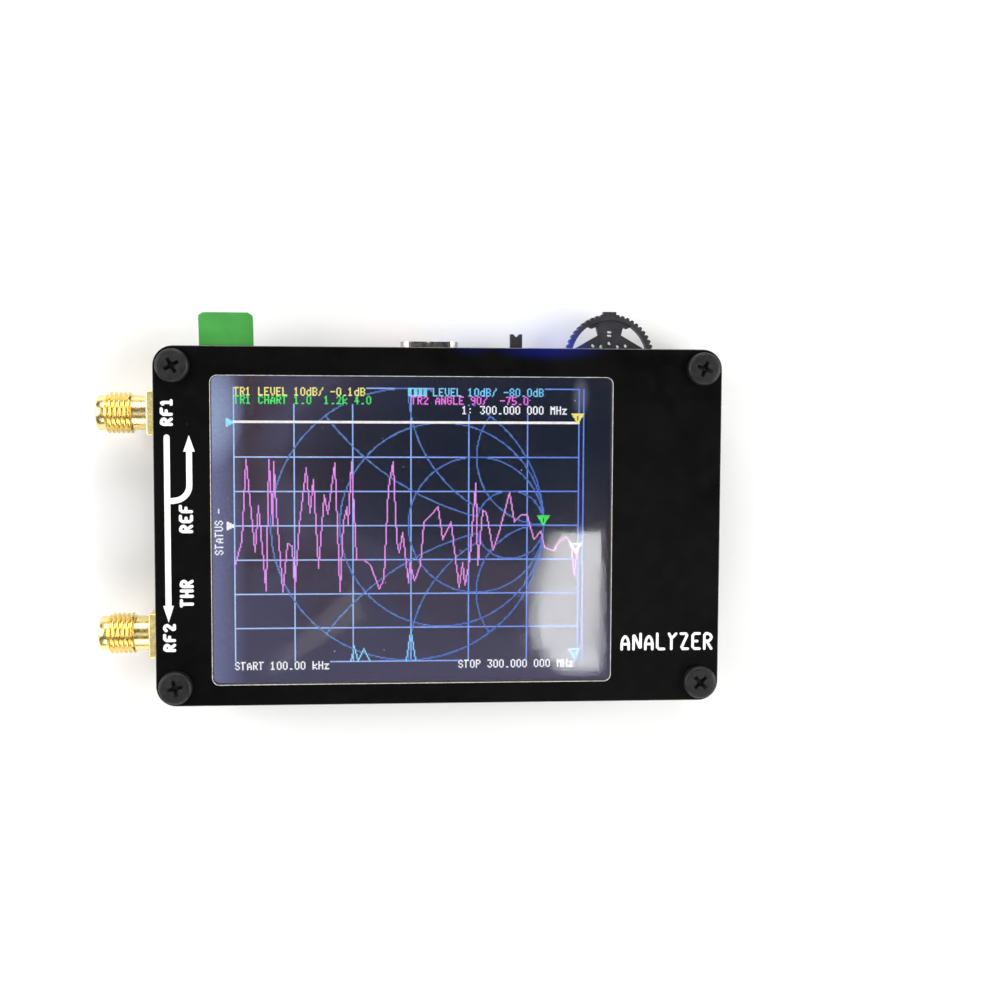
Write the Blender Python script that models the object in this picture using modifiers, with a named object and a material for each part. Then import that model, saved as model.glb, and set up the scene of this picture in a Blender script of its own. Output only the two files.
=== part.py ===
"""Pocket vector network analyser: three circuit boards in a screwed sandwich.

The front panel, the main board and the back panel are stacked on hexagonal standoffs at the
four corners, and the sides stay open. A 2.8 inch touch display lies between the front panel
and the main board. Everything else hangs under the main board: two coaxial jacks at the left
edge, and a USB socket, a slide switch and a thumb lever wheel at the rear edge.

Frame: +X to the right of the display, +Y away from the user, +Z up out of the display.
The origin is the middle of the bounding box, at the level the instrument rests on.
"""

import math

import bmesh
import bpy
from mathutils import Matrix, Vector

MM = 0.001  # sizes below are in millimetres, and the helpers turn them into metres

# Driving dimensions
PANEL_LENGTH = 85.5
PANEL_WIDTH = 54.0
PANEL_THICKNESS = 1.6
CORNER_RADIUS = 3.0
HOLE_INSET = 3.0  # from either edge of a board to the middle of its screw hole
HOLE_RADIUS = 1.35
BOARD_GAP = 4.0  # clear height between neighbouring boards
TOUCH_GAP = 0.02  # left between solids that touch on the real object
SOLDER_GAP = 0.05  # left between a board and what is soldered to it

# Fasteners: M2.5 screws with flat pan heads, and hexagonal standoffs
SCREW_RADIUS = 1.2
SCREW_LENGTH = 4.0  # under the head
HEAD_RADIUS = 2.5
HEAD_FLAT_RADIUS = 2.15
HEAD_HEIGHT = 1.5
RECESS_SPAN = 2.5
RECESS_WIDTH = 0.62
RECESS_DEPTH = 1.0
STANDOFF_ACROSS_FLATS = 4.5
STANDOFF_BORE_RADIUS = 1.3
STANDOFF_BORE_DEPTH = 2.9
STUD_RADIUS = 1.2
STUD_BELOW_BOARD = 1.4

# Window in the front panel, and the display behind it
WINDOW_SIZE = (60.3, 46.4)
WINDOW_CENTRE = (-4.2, -0.6)
WINDOW_CORNER = 1.0
LCD_SIZE = (69.0, 50.0)
LCD_CENTRE = (-2.6, -0.6)
TAPE_THICKNESS = 0.3
BACKLIGHT_THICKNESS = 1.86
GLASS_THICKNESS = 0.7
TOUCH_THICKNESS = 0.8
FILM_THICKNESS = 0.08
TAB_SIZE = (8.05, 9.2)
TAB_CENTRE = (-32.1, 27.35)
RIBBON_THICKNESS = 0.16

# Coaxial jacks: 1/4-36 thread
JACK_SPACING = 34.0
JACK_REACH = 9.5  # from the edge of the boards to the tip
FLANGE_SIDE = 6.8
FLANGE_THICKNESS = 1.75
NECK_LENGTH = 2.15
THREAD_PITCH = 0.7056
THREAD_TURNS = 6
THREAD_MAJOR = 3.17
THREAD_MINOR = 2.74
NECK_RADIUS = 2.68
NOSE_RADIUS = 2.64
JACK_BORE = 2.08
PIN_RADIUS = 0.4
SOCKET_RADIUS = 0.64
SOCKET_BORE = 0.47
LEG_SIDE = 0.9
LEG_LENGTH = 4.0
LEG_OFFSET = 2.7

# USB socket
USB_X = -1.65
USB_SIZE = (8.94, 3.26)
USB_WALL = 0.3
USB_DEPTH = 7.35
USB_OVERHANG = 1.2  # past the edge of the boards
USB_SEAM = 0.35  # width of the slit where the rolled shell meets itself

# Slide switch
SWITCH_X = 12.93
SWITCH_SIZE = (8.6, 4.1, 3.3)
SWITCH_WALL = 0.3
SWITCH_SET_BACK = 0.4  # of the switch's front behind the edge of the boards
SLIDER_TRAVEL = 2.0
KNOB_WIDTH = 1.85
KNOB_THICKNESS = 1.5
KNOB_OVERHANG = 2.5  # past the edge of the boards
KNOB_NOTCH = (0.95, 0.48)  # width and depth

# Thumb lever wheel
JOG_X = 26.75
JOG_Y = 25.75
RIM_TIP_RADIUS = 7.05
RIM_ROOT_RADIUS = 6.68
RIM_INNER_RADIUS = 6.12
RIM_HEIGHT = 2.0
RIM_LIFT = 0.95  # from the back panel
RIM_FROM = -15.0  # degrees from +X; the rim is open towards the board
TEETH_IN_TURN = 52
LINING_RADIUS = 5.5  # inside the thicker stretch of rim round the block
LINING_HALF_ANGLE = 30.0
STOP_RADIUS = 7.4  # to the flat front of the raised block in the middle of the rim
STOP_WIDTH = 2.05
WEB_THICKNESS = 1.2
WEB_HOLE_RADIUS = 0.31
HUB_BORE = 0.95
JOG_PIN_RADIUS = 0.8
JOG_TRAVEL = 0.6
CARRIAGE_WIDTH = 3.2
CARRIAGE_THICKNESS = 0.9
JOG_BASE_SIZE = (9.0, 6.5)

# Battery
BATTERY_SIZE = (34.5, 28.0, 3.35)
BATTERY_CENTRE = (19.25, -10.5)
LEAD_RADIUS = 0.45

# Levels, from the faces of the lower screw heads up
BACK_PANEL_Z = HEAD_HEIGHT
BOARD_Z = BACK_PANEL_Z + PANEL_THICKNESS + BOARD_GAP
BOARD_TOP_Z = BOARD_Z + PANEL_THICKNESS
FRONT_PANEL_Z = BOARD_TOP_Z + BOARD_GAP
FRONT_FACE_Z = FRONT_PANEL_Z + PANEL_THICKNESS
UNDER_BOARD_Z = BOARD_Z - SOLDER_GAP
JACK_Z = UNDER_BOARD_Z - PIN_RADIUS
EDGE_X = PANEL_LENGTH / 2
EDGE_Y = PANEL_WIDTH / 2
HOLE_X = EDGE_X - HOLE_INSET
HOLE_Y = EDGE_Y - HOLE_INSET

# The bounding box runs from the tips of the jacks to the right edge, and from the near edge to
# the block on the wheel. Its middle becomes the origin.
BOX_CENTRE = (-JACK_REACH / 2, (JOG_Y + STOP_RADIUS - EDGE_Y) / 2)

CORNERS = [(-HOLE_X, HOLE_Y), (HOLE_X, HOLE_Y), (-HOLE_X, -HOLE_Y), (HOLE_X, -HOLE_Y)]
CORNER_NAMES = ["rear_left", "rear_right", "near_left", "near_right"]
RECESS_TURNS = [30.0, -19.0, 12.0, 44.0]  # how far each screw's cross happens to be turned

COLOURS = {
    "black_board": ((0.018, 0.017, 0.017), 0.42, 0.0),
    "black_steel": ((0.035, 0.034, 0.033), 0.38, 0.9),
    "black_plastic": ((0.02, 0.02, 0.022), 0.5, 0.0),
    "gold": ((0.86, 0.6, 0.2), 0.22, 1.0),
    "brass": ((0.72, 0.56, 0.26), 0.3, 1.0),
    "white_plastic": ((0.85, 0.85, 0.82), 0.4, 0.0),
    "steel": ((0.62, 0.61, 0.6), 0.3, 1.0),
    "dark_glass": ((0.012, 0.012, 0.02), 0.08, 0.0),
    "clear_glass": ((0.8, 0.85, 0.9), 0.05, 0.0),
    "green_film": ((0.045, 0.34, 0.05), 0.45, 0.0),
    "polyimide": ((0.45, 0.2, 0.04), 0.35, 0.0),
    "silver_foil": ((0.6, 0.61, 0.63), 0.35, 0.8),
    "foam": ((0.05, 0.05, 0.05), 0.9, 0.0),
    "blue_led": ((0.1, 0.25, 0.95), 0.2, 0.0),
    "red_led": ((0.9, 0.75, 0.6), 0.2, 0.0),
    "red_wire": ((0.6, 0.02, 0.02), 0.4, 0.0),
    "black_wire": ((0.02, 0.02, 0.02), 0.4, 0.0),
}


# ---------------------------------------------------------------- scene


def clear_scene():
    for obj in list(bpy.data.objects):
        bpy.data.objects.remove(obj, do_unlink=True)


def new_collection(name):
    collection = bpy.data.collections.new(name)
    bpy.context.scene.collection.children.link(collection)
    return collection


def new_empty(name, location, parent=None):
    empty = bpy.data.objects.new(name, None)
    empty.location = Vector(location) * MM
    empty.parent = parent
    PARTS.objects.link(empty)
    return empty


def material(name):
    found = bpy.data.materials.get(name)
    if found:
        return found
    colour, roughness, metallic = COLOURS[name]
    made = bpy.data.materials.new(name)
    made.use_nodes = True
    shader = made.node_tree.nodes["Principled BSDF"]
    shader.inputs["Base Color"].default_value = (*colour, 1.0)
    shader.inputs["Roughness"].default_value = roughness
    shader.inputs["Metallic"].default_value = metallic
    made.diffuse_color = (*colour, 1.0)
    return made


def add_part(name, mesh, finish, location=(0, 0, 0), parent=None, smooth=False):
    """A named piece at a place in the frame of its parent, which is the assembly by default."""
    mesh.materials.clear()
    mesh.materials.append(material(finish))
    if smooth:
        mesh.shade_smooth()
        mesh.set_sharp_from_angle(angle=math.radians(35))
    obj = bpy.data.objects.new(name, mesh)
    obj.location = Vector(location) * MM
    obj.parent = parent or ASSEMBLY
    PARTS.objects.link(obj)
    return obj


def make_helper(obj):
    """Turns a piece into a cutter or a shape that is only joined to another one."""
    PARTS.objects.unlink(obj)
    HELPERS.objects.link(obj)
    obj.hide_render = True
    obj.display_type = "WIRE"
    return obj


def boolean(obj, helper, operation):
    modifier = obj.modifiers.new(operation.lower() + "_" + helper.name, "BOOLEAN")
    modifier.operation = operation
    modifier.object = make_helper(helper)


def cut(obj, helper):
    boolean(obj, helper, "DIFFERENCE")


def join(obj, helper):
    boolean(obj, helper, "UNION")


def bevel(obj, width, segments=2):
    modifier = obj.modifiers.new("rounded_edges", "BEVEL")
    modifier.width = width * MM
    modifier.segments = segments
    modifier.limit_method = "ANGLE"


# ---------------------------------------------------------------- shapes


def box_mesh(name, size):
    mesh = bpy.data.meshes.new(name)
    bm = bmesh.new()
    bmesh.ops.create_cube(bm, size=1.0, matrix=Matrix.Diagonal((*(s * MM for s in size), 1.0)))
    bm.to_mesh(mesh)
    bm.free()
    return mesh


def box(name, low, high, finish, parent=None):
    """A box between two corners."""
    low, high = Vector(low), Vector(high)
    return add_part(name, box_mesh(name, high - low), finish, (low + high) / 2, parent)


def cylinder(name, radius, height, finish, location, parent=None, segments=24):
    """An upright cylinder whose lower end is at location."""
    mesh = bpy.data.meshes.new(name)
    bm = bmesh.new()
    bmesh.ops.create_cone(
        bm,
        cap_ends=True,
        segments=segments,
        radius1=radius * MM,
        radius2=radius * MM,
        depth=height * MM,
        matrix=Matrix.Translation((0, 0, height * MM / 2)),
    )
    bm.to_mesh(mesh)
    bm.free()
    return add_part(name, mesh, finish, location, parent, smooth=True)


def arc(centre, radius, start, end, steps):
    """Points along an arc, both ends included, with angles in degrees."""
    angles = [math.radians(start + (end - start) * i / steps) for i in range(steps + 1)]
    return [(centre[0] + radius * math.cos(a), centre[1] + radius * math.sin(a)) for a in angles]


def circle(radius, centre=(0, 0), steps=24):
    return arc(centre, radius, 0, 360 - 360 / steps, steps - 1)


def rounded_rectangle(length, width, radius, centre=(0, 0), steps=6):
    x, y = length / 2 - radius, width / 2 - radius
    points = []
    for quarter, (cx, cy) in enumerate([(x, y), (-x, y), (-x, -y), (x, -y)]):
        start = 90 * quarter
        points += arc((centre[0] + cx, centre[1] + cy), radius, start, start + 90, steps)
    return points


def flat_curve(name, outlines, thickness):
    """A 2D curve filled between its first outline and the holes that follow it."""
    curve = bpy.data.curves.new(name, "CURVE")
    curve.dimensions = "2D"
    curve.fill_mode = "BOTH"
    curve.extrude = thickness * MM / 2
    for outline in outlines:
        spline = curve.splines.new("POLY")
        spline.points.add(len(outline) - 1)
        for point, (x, y) in zip(spline.points, outline):
            point.co = (x * MM, y * MM, 0, 1)
        spline.use_cyclic_u = True
    return curve


def welded_mesh(curve):
    """The curve's surface as a mesh, with its loose caps joined to its sides."""
    carrier = bpy.data.objects.new("carrier", curve)
    PARTS.objects.link(carrier)
    bpy.context.view_layer.update()
    evaluated = carrier.evaluated_get(bpy.context.evaluated_depsgraph_get())
    mesh = bpy.data.meshes.new_from_object(evaluated)
    mesh.name = curve.name
    bm = bmesh.new()
    bm.from_mesh(mesh)
    bmesh.ops.remove_doubles(bm, verts=bm.verts, dist=1e-6)
    bmesh.ops.recalc_face_normals(bm, faces=bm.faces)
    bm.to_mesh(mesh)
    bm.free()
    bpy.data.objects.remove(carrier, do_unlink=True)
    return mesh


def plate(name, outlines, bottom, thickness, finish, parent=None, centre=(0, 0)):
    """A flat piece lying between bottom and bottom plus thickness."""
    mesh = welded_mesh(flat_curve(name, outlines, thickness))
    return add_part(name, mesh, finish, (*centre, bottom + thickness / 2), parent, smooth=True)


def turned(name, profile, finish, location, parent=None, segments=24, closed=False):
    """A shape turned round Z from points (radius, height) that run down its outer side.

    A closed profile makes a ring, and an open one begins and ends on the axis.
    """
    mesh = bpy.data.meshes.new(name)
    count = len(profile)
    edges = [(i, i + 1) for i in range(count - 1)]
    if closed:
        edges.append((count - 1, 0))
    mesh.from_pydata([(r * MM, 0, z * MM) for r, z in profile], edges, [])
    obj = add_part(name, mesh, finish, location, parent)
    screw = obj.modifiers.new("turned", "SCREW")
    screw.steps = segments
    screw.render_steps = segments
    screw.use_merge_vertices = True
    screw.merge_threshold = 1e-6
    screw.use_smooth_shade = True
    return obj


def wire(name, points, radius, finish):
    """A round wire along a smooth curve through the points."""
    curve = bpy.data.curves.new(name, "CURVE")
    curve.dimensions = "3D"
    curve.bevel_depth = radius * MM
    curve.bevel_resolution = 2
    curve.use_fill_caps = True
    path = smooth_path(points)
    spline = curve.splines.new("POLY")
    spline.points.add(len(path) - 1)
    for point, place in zip(spline.points, path):
        point.co = (*(Vector(place) * MM), 1)
    curve.materials.append(material(finish))
    obj = bpy.data.objects.new(name, curve)
    obj.parent = ASSEMBLY
    PARTS.objects.link(obj)
    return obj


def smooth_path(points, steps=5):
    """Points read from a Catmull-Rom curve through the given ones."""
    knots = [Vector(p) for p in points]
    knots = [2 * knots[0] - knots[1], *knots, 2 * knots[-1] - knots[-2]]
    path = []
    for a, b, c, d in zip(knots, knots[1:], knots[2:], knots[3:]):
        for i in range(steps):
            t = i / steps
            path.append(
                0.5 * (2 * b + (c - a) * t + (2 * a - 5 * b + 4 * c - d) * t**2
                       + (3 * b - a - 3 * c + d) * t**3)
            )
    return [*path, knots[-2]]


# ---------------------------------------------------------------- boards


def corner_holes():
    return [circle(HOLE_RADIUS, corner, steps=20) for corner in CORNERS]


def board(name, bottom, openings=()):
    outline = rounded_rectangle(PANEL_LENGTH, PANEL_WIDTH, CORNER_RADIUS)
    outlines = [outline, *corner_holes(), *openings]
    return plate(name, outlines, bottom, PANEL_THICKNESS, "black_board")


def make_boards():
    window = rounded_rectangle(*WINDOW_SIZE, WINDOW_CORNER, WINDOW_CENTRE, steps=4)
    board("front_panel", FRONT_PANEL_Z, [window])
    board("main_board", BOARD_Z)
    board("back_panel", BACK_PANEL_Z)


# ---------------------------------------------------------------- fasteners


def make_screw(name, corner, face, upwards, turn):
    """A pan-head screw whose head sits on the board face at that level."""
    head_top = HEAD_HEIGHT
    profile = [
        (0, head_top),
        (HEAD_FLAT_RADIUS, head_top),
        (HEAD_RADIUS - 0.1, head_top - 0.16),
        (HEAD_RADIUS, head_top - 0.42),
        (HEAD_RADIUS, TOUCH_GAP),
        (SCREW_RADIUS, TOUCH_GAP),
        (SCREW_RADIUS, 0.4 - SCREW_LENGTH),
        (SCREW_RADIUS - 0.3, -SCREW_LENGTH),
        (0, -SCREW_LENGTH),
    ]
    screw = turned(name, profile, "black_steel", (*corner, face), segments=28)
    screw.rotation_euler = (0 if upwards else math.pi, 0, 0)
    for i in range(2):
        arm = box(
            f"{name}_recess_{i}",
            (-RECESS_SPAN / 2, -RECESS_WIDTH / 2, head_top - RECESS_DEPTH),
            (RECESS_SPAN / 2, RECESS_WIDTH / 2, head_top + 1),
            "black_steel",
            parent=screw,
        )
        arm.rotation_euler = (0, 0, math.radians(turn + 90 * i))
        cut(screw, arm)


def hexagon(across_flats):
    """Points of a hexagon with two flats facing -X and +X."""
    return arc((0, 0), across_flats / math.sqrt(3), 30, 330, 5)


def make_standoff(name, corner, bottom, stud):
    """A hexagonal standoff. One with a stud goes above the board and reaches down through it."""
    height = BOARD_GAP - 2 * TOUCH_GAP
    low = bottom + TOUCH_GAP
    outline = [hexagon(STANDOFF_ACROSS_FLATS)]
    standoff = plate(name, outline, low, height, "brass", centre=corner)
    if not stud:
        cut(standoff, cylinder(f"{name}_bore", STANDOFF_BORE_RADIUS, height + 2, "brass",
                               (*corner, low - 1), segments=20))
        return
    bore_z = low + height - STANDOFF_BORE_DEPTH
    cut(standoff, cylinder(f"{name}_bore", STANDOFF_BORE_RADIUS, height, "brass",
                           (*corner, bore_z), segments=20))
    stud_length = PANEL_THICKNESS + STUD_BELOW_BOARD
    join(standoff, cylinder(f"{name}_stud", STUD_RADIUS, stud_length + 0.5, "brass",
                            (*corner, bottom - stud_length), segments=20))


def make_fasteners():
    for corner, where, turn in zip(CORNERS, CORNER_NAMES, RECESS_TURNS):
        make_screw(f"front_screw_{where}", corner, FRONT_FACE_Z, True, turn)
        make_screw(f"back_screw_{where}", corner, BACK_PANEL_Z, False, -turn)
        make_standoff(f"upper_standoff_{where}", corner, BOARD_TOP_Z, stud=True)
        make_standoff(f"lower_standoff_{where}", corner, BACK_PANEL_Z + PANEL_THICKNESS, stud=False)


# ---------------------------------------------------------------- display


def make_layer(name, size, bottom, thickness, finish, centre=LCD_CENTRE, radius=0.6):
    outline = [rounded_rectangle(*size, radius, steps=2)]
    return plate(name, outline, bottom, thickness, finish, centre=centre)


def make_display():
    """The layers of the display, from its adhesive foam up to the film on its face."""
    z = BOARD_TOP_Z + TOUCH_GAP
    make_layer("display_foam_tape", (66.0, 46.0), z, TAPE_THICKNESS, "foam")
    z += TAPE_THICKNESS + TOUCH_GAP
    make_layer("backlight_frame", LCD_SIZE, z, BACKLIGHT_THICKNESS, "white_plastic")
    z += BACKLIGHT_THICKNESS + TOUCH_GAP
    make_layer("display_glass", (LCD_SIZE[0] - 1, LCD_SIZE[1] - 1), z, GLASS_THICKNESS, "dark_glass")
    ribbon_z = z + GLASS_THICKNESS / 2
    z += GLASS_THICKNESS + TOUCH_GAP
    make_layer("touch_panel", (LCD_SIZE[0] - 0.6, LCD_SIZE[1] - 0.6), z, TOUCH_THICKNESS, "clear_glass")
    z += TOUCH_THICKNESS + TOUCH_GAP
    make_layer("screen_film", (LCD_SIZE[0] - 2, LCD_SIZE[1] - 2), z, FILM_THICKNESS, "clear_glass")
    z += FILM_THICKNESS + TOUCH_GAP
    make_layer("film_pull_tab", TAB_SIZE, z, FILM_THICKNESS, "green_film", TAB_CENTRE, radius=1.1)
    make_ribbon("display_ribbon", 18.0, LCD_CENTRE[1], ribbon_z)
    make_ribbon("touch_ribbon", 4.6, LCD_CENTRE[1] + 15.5, ribbon_z)


def make_ribbon(name, width, y, start_z):
    """A flexible ribbon that leaves the glass, rolls over and comes down on the main board."""
    start_x = LCD_CENTRE[0] + LCD_SIZE[0] / 2 + 0.15
    end_z = BOARD_TOP_Z + SOLDER_GAP + RIBBON_THICKNESS / 2
    radius = (start_z - end_z) / 2
    bend_x = start_x + 1.4
    upper = [(start_x, start_z), *arc((bend_x, start_z - radius), radius, 90, 0, 6)]
    lower = arc((bend_x + 2 * radius, end_z + radius), radius, 180, 270, 6)[1:]
    path = [*upper, *lower, (bend_x + 2 * radius + 1.2, end_z)]
    curve = bpy.data.curves.new(name, "CURVE")
    curve.dimensions = "2D"
    curve.fill_mode = "NONE"
    curve.extrude = width * MM / 2
    spline = curve.splines.new("POLY")
    spline.points.add(len(path) - 1)
    for point, (x, z) in zip(spline.points, path):
        point.co = (x * MM, z * MM, 0, 1)
    ribbon = add_part(name, welded_mesh(curve), "polyimide", (0, y, 0))
    ribbon.rotation_euler = (math.pi / 2, 0, 0)
    thickness = ribbon.modifiers.new("thickness", "SOLIDIFY")
    thickness.thickness = RIBBON_THICKNESS * MM
    thickness.offset = 0
    thickness.use_even_offset = True


# ---------------------------------------------------------------- coaxial jacks


def barrel_profile(tip):
    """The barrel's section as a closed ring, with the height measured from the flange's face."""
    profile = [(JACK_BORE, tip), (NOSE_RADIUS - 0.25, tip), (NOSE_RADIUS, tip - 0.3)]
    thread_top = NECK_LENGTH + THREAD_TURNS * THREAD_PITCH
    profile.append((NOSE_RADIUS, thread_top + 0.12))
    for turn in range(THREAD_TURNS):
        z = thread_top - turn * THREAD_PITCH
        profile += [
            (THREAD_MINOR, z),
            (THREAD_MAJOR, z - 0.29),
            (THREAD_MAJOR, z - 0.38),
            (THREAD_MINOR, z - 0.66),
        ]
    overlap = -0.5  # the barrel runs this far into the flange it is joined to
    profile += [(NECK_RADIUS, NECK_LENGTH - 0.1), (NECK_RADIUS, overlap), (JACK_BORE, overlap)]
    return profile


def make_jack(name, y):
    """A jack for coaxial plugs that straddles the left edge of the main board."""
    front_x = -EDGE_X - SOLDER_GAP - FLANGE_THICKNESS
    tip = JACK_REACH - SOLDER_GAP - FLANGE_THICKNESS
    lie_down = (0, -math.pi / 2, 0)  # the turned shape's top points to -X
    body = box(
        f"{name}_body",
        (front_x, y - FLANGE_SIDE / 2, JACK_Z - FLANGE_SIDE / 2),
        (front_x + FLANGE_THICKNESS, y + FLANGE_SIDE / 2, JACK_Z + FLANGE_SIDE / 2),
        "gold",
    )
    levels = [BOARD_TOP_Z + SOLDER_GAP, UNDER_BOARD_Z - LEG_SIDE]
    for i, z in enumerate(levels):
        for side in (-1, 1):
            leg_y = y + side * LEG_OFFSET
            leg = box(
                f"{name}_leg_{i}_{side}",
                (front_x + FLANGE_THICKNESS / 2, leg_y - LEG_SIDE / 2, z),
                (front_x + FLANGE_THICKNESS + LEG_LENGTH, leg_y + LEG_SIDE / 2, z + LEG_SIDE),
                "gold",
            )
            join(body, leg)
    bore = cylinder(f"{name}_bore", JACK_BORE, FLANGE_THICKNESS + 2, "gold",
                    (front_x + FLANGE_THICKNESS + 1, y, JACK_Z))
    bore.rotation_euler = lie_down
    cut(body, bore)
    barrel = turned(f"{name}_barrel", barrel_profile(tip), "gold", (front_x, y, JACK_Z), closed=True)
    barrel.rotation_euler = lie_down
    join(body, barrel)

    insulator_radius = JACK_BORE - TOUCH_GAP
    hole_radius = SOCKET_RADIUS + TOUCH_GAP
    front, rear = tip - 0.04, -FLANGE_THICKNESS + 0.02
    section = [(hole_radius, front), (insulator_radius, front),
               (insulator_radius, rear), (hole_radius, rear)]
    insulator = turned(f"{name}_insulator", section, "white_plastic", (front_x, y, JACK_Z), closed=True)
    insulator.rotation_euler = lie_down

    socket_floor = tip - 3.0
    pin_end = -FLANGE_THICKNESS - 3.2
    profile = [
        (0, socket_floor),
        (SOCKET_BORE, socket_floor),
        (SOCKET_BORE, tip - 0.1),
        (SOCKET_RADIUS, tip - 0.1),
        (SOCKET_RADIUS, -FLANGE_THICKNESS + 0.1),
        (PIN_RADIUS, -FLANGE_THICKNESS + 0.05),
        (PIN_RADIUS, pin_end),
        (0, pin_end),
    ]
    contact = turned(f"{name}_contact", profile, "gold", (front_x, y, JACK_Z), segments=16)
    contact.rotation_euler = lie_down


# ---------------------------------------------------------------- USB socket


def make_usb_socket():
    """A USB socket hanging under the board: a rolled steel shell round a plastic tongue."""
    mouth_y = EDGE_Y + USB_OVERHANG
    middle_z = UNDER_BOARD_Z - USB_SIZE[1] / 2
    outer = rounded_rectangle(*USB_SIZE, USB_SIZE[1] / 2 - 0.001, steps=6)
    inner_size = [side - 2 * USB_WALL for side in USB_SIZE]
    inner = rounded_rectangle(*inner_size, inner_size[1] / 2 - 0.001, steps=6)
    mesh = welded_mesh(flat_curve("usb_shell", [outer, inner], USB_DEPTH))
    shell = add_part("usb_shell", mesh, "steel", (USB_X, mouth_y - USB_DEPTH / 2, middle_z), smooth=True)
    shell.rotation_euler = (math.pi / 2, 0, 0)
    seam = box("usb_seam", (USB_X - USB_SEAM, mouth_y - USB_DEPTH - 1, UNDER_BOARD_Z - 1.5 * USB_WALL),
               (USB_X, mouth_y + 1, UNDER_BOARD_Z + 1), "steel")
    cut(shell, seam)

    rear_y = mouth_y - USB_DEPTH
    block = rounded_rectangle(7.9, 2.45, 1.2, steps=4)
    mesh = welded_mesh(flat_curve("usb_tongue", [block], 1.8))
    tongue = add_part("usb_tongue", mesh, "black_plastic", (USB_X, rear_y + 1.0, middle_z))
    tongue.rotation_euler = (math.pi / 2, 0, 0)
    blade = box("usb_tongue_blade", (USB_X - 3.34, rear_y + 1.4, middle_z - 0.35),
                (USB_X + 3.34, mouth_y - 0.9, middle_z + 0.35), "black_plastic")
    join(tongue, blade)


# ---------------------------------------------------------------- slide switch


def make_slide_switch():
    """A folded steel cover with a slot, a contact block behind it and the sliding knob."""
    length, depth, height = SWITCH_SIZE
    front = EDGE_Y - SWITCH_SET_BACK
    rear = front - depth
    top = UNDER_BOARD_Z
    middle_z = top - height / 2
    cover = box("switch_cover", (SWITCH_X - length / 2, rear, top - height),
                (SWITCH_X + length / 2, front, top), "steel")
    hollow = box(
        "switch_hollow",
        (SWITCH_X - length / 2 + SWITCH_WALL, rear - 1, top - height + SWITCH_WALL),
        (SWITCH_X + length / 2 - SWITCH_WALL, front - SWITCH_WALL, top - SWITCH_WALL),
        "steel",
    )
    cut(cover, hollow)
    slot_half = (KNOB_WIDTH + SLIDER_TRAVEL) / 2 + 0.15
    slot = box("switch_slot", (SWITCH_X - slot_half, front - 1, middle_z - KNOB_THICKNESS / 2 - 0.15),
               (SWITCH_X + slot_half, front + 1, middle_z + KNOB_THICKNESS / 2 + 0.15), "steel")
    cut(cover, slot)

    side_gap = SWITCH_WALL + 0.1
    box("switch_contact_block", (SWITCH_X - length / 2 + side_gap, rear - 0.1, top - height + side_gap),
        (SWITCH_X + length / 2 - side_gap, rear + 1.8, top - side_gap), "black_plastic")

    # The slider rests at the left end of its travel.
    pivot = new_empty("slider_rest", (SWITCH_X - SLIDER_TRAVEL / 2, front, middle_z), ASSEMBLY)
    knob_end = SWITCH_SET_BACK + KNOB_OVERHANG
    half = KNOB_WIDTH / 2
    notch = [(KNOB_NOTCH[0] / 2, knob_end), (0, knob_end - KNOB_NOTCH[1]), (-KNOB_NOTCH[0] / 2, knob_end)]
    knob = [(half, -0.8), (half, knob_end), *notch, (-half, knob_end), (-half, -0.8)]
    slider = plate("switch_slider", [knob], -KNOB_THICKNESS / 2, KNOB_THICKNESS, "black_plastic", pivot)
    shoe = box("slider_shoe", (-1.6, -depth + 2.0, -1.0), (1.6, -SWITCH_WALL - 0.15, 1.0),
               "black_plastic", pivot)
    join(slider, shoe)


# ---------------------------------------------------------------- thumb lever wheel


def rim_outline():
    """A band with small teeth, open towards the board."""
    step = 360 / TEETH_IN_TURN
    teeth = round((180 - 2 * RIM_FROM) / step)
    start = 90 - teeth * step / 2
    outline = []
    for tooth in range(teeth):
        for share, radius in ((0.0, RIM_ROOT_RADIUS), (0.3, RIM_TIP_RADIUS), (0.7, RIM_TIP_RADIUS)):
            angle = math.radians(start + (tooth + share) * step)
            outline.append((radius * math.cos(angle), radius * math.sin(angle)))
    end = start + teeth * step
    return outline + arc((0, 0), RIM_INNER_RADIUS, end, start, 28)


def rim_lining_outline():
    """The thicker stretch of rim round the block, with bevelled ends."""
    outer = arc((0, 0), RIM_INNER_RADIUS + 0.2, 90 - LINING_HALF_ANGLE - 5, 90 + LINING_HALF_ANGLE + 5, 8)
    return outer + arc((0, 0), LINING_RADIUS, 90 + LINING_HALF_ANGLE, 90 - LINING_HALF_ANGLE, 8)


def web_outlines():
    """The web between hub and rim, with its spoke, two slots and five small round holes."""
    right = [(3.0, -2.6), (6.3, -1.2), (6.3, 1.1), (5.1, 1.85), (1.8, 3.75), (2.1, 4.9), (2.1, 5.7)]
    web = [*right, *[(-x, y) for x, y in reversed(right)]]
    places = [(-2.6, 2.1), (-1.32, 1.98), (0, 2.5), (1.32, 1.98), (2.6, 2.1)]
    holes = [circle(WEB_HOLE_RADIUS, place, steps=10) for place in places]
    slots = [rounded_rectangle(0.85, 0.36, 0.17, (0, y), steps=2) for y in (3.7, 4.25)]
    return [web, *holes, *slots, circle(HUB_BORE, steps=20)]


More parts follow.
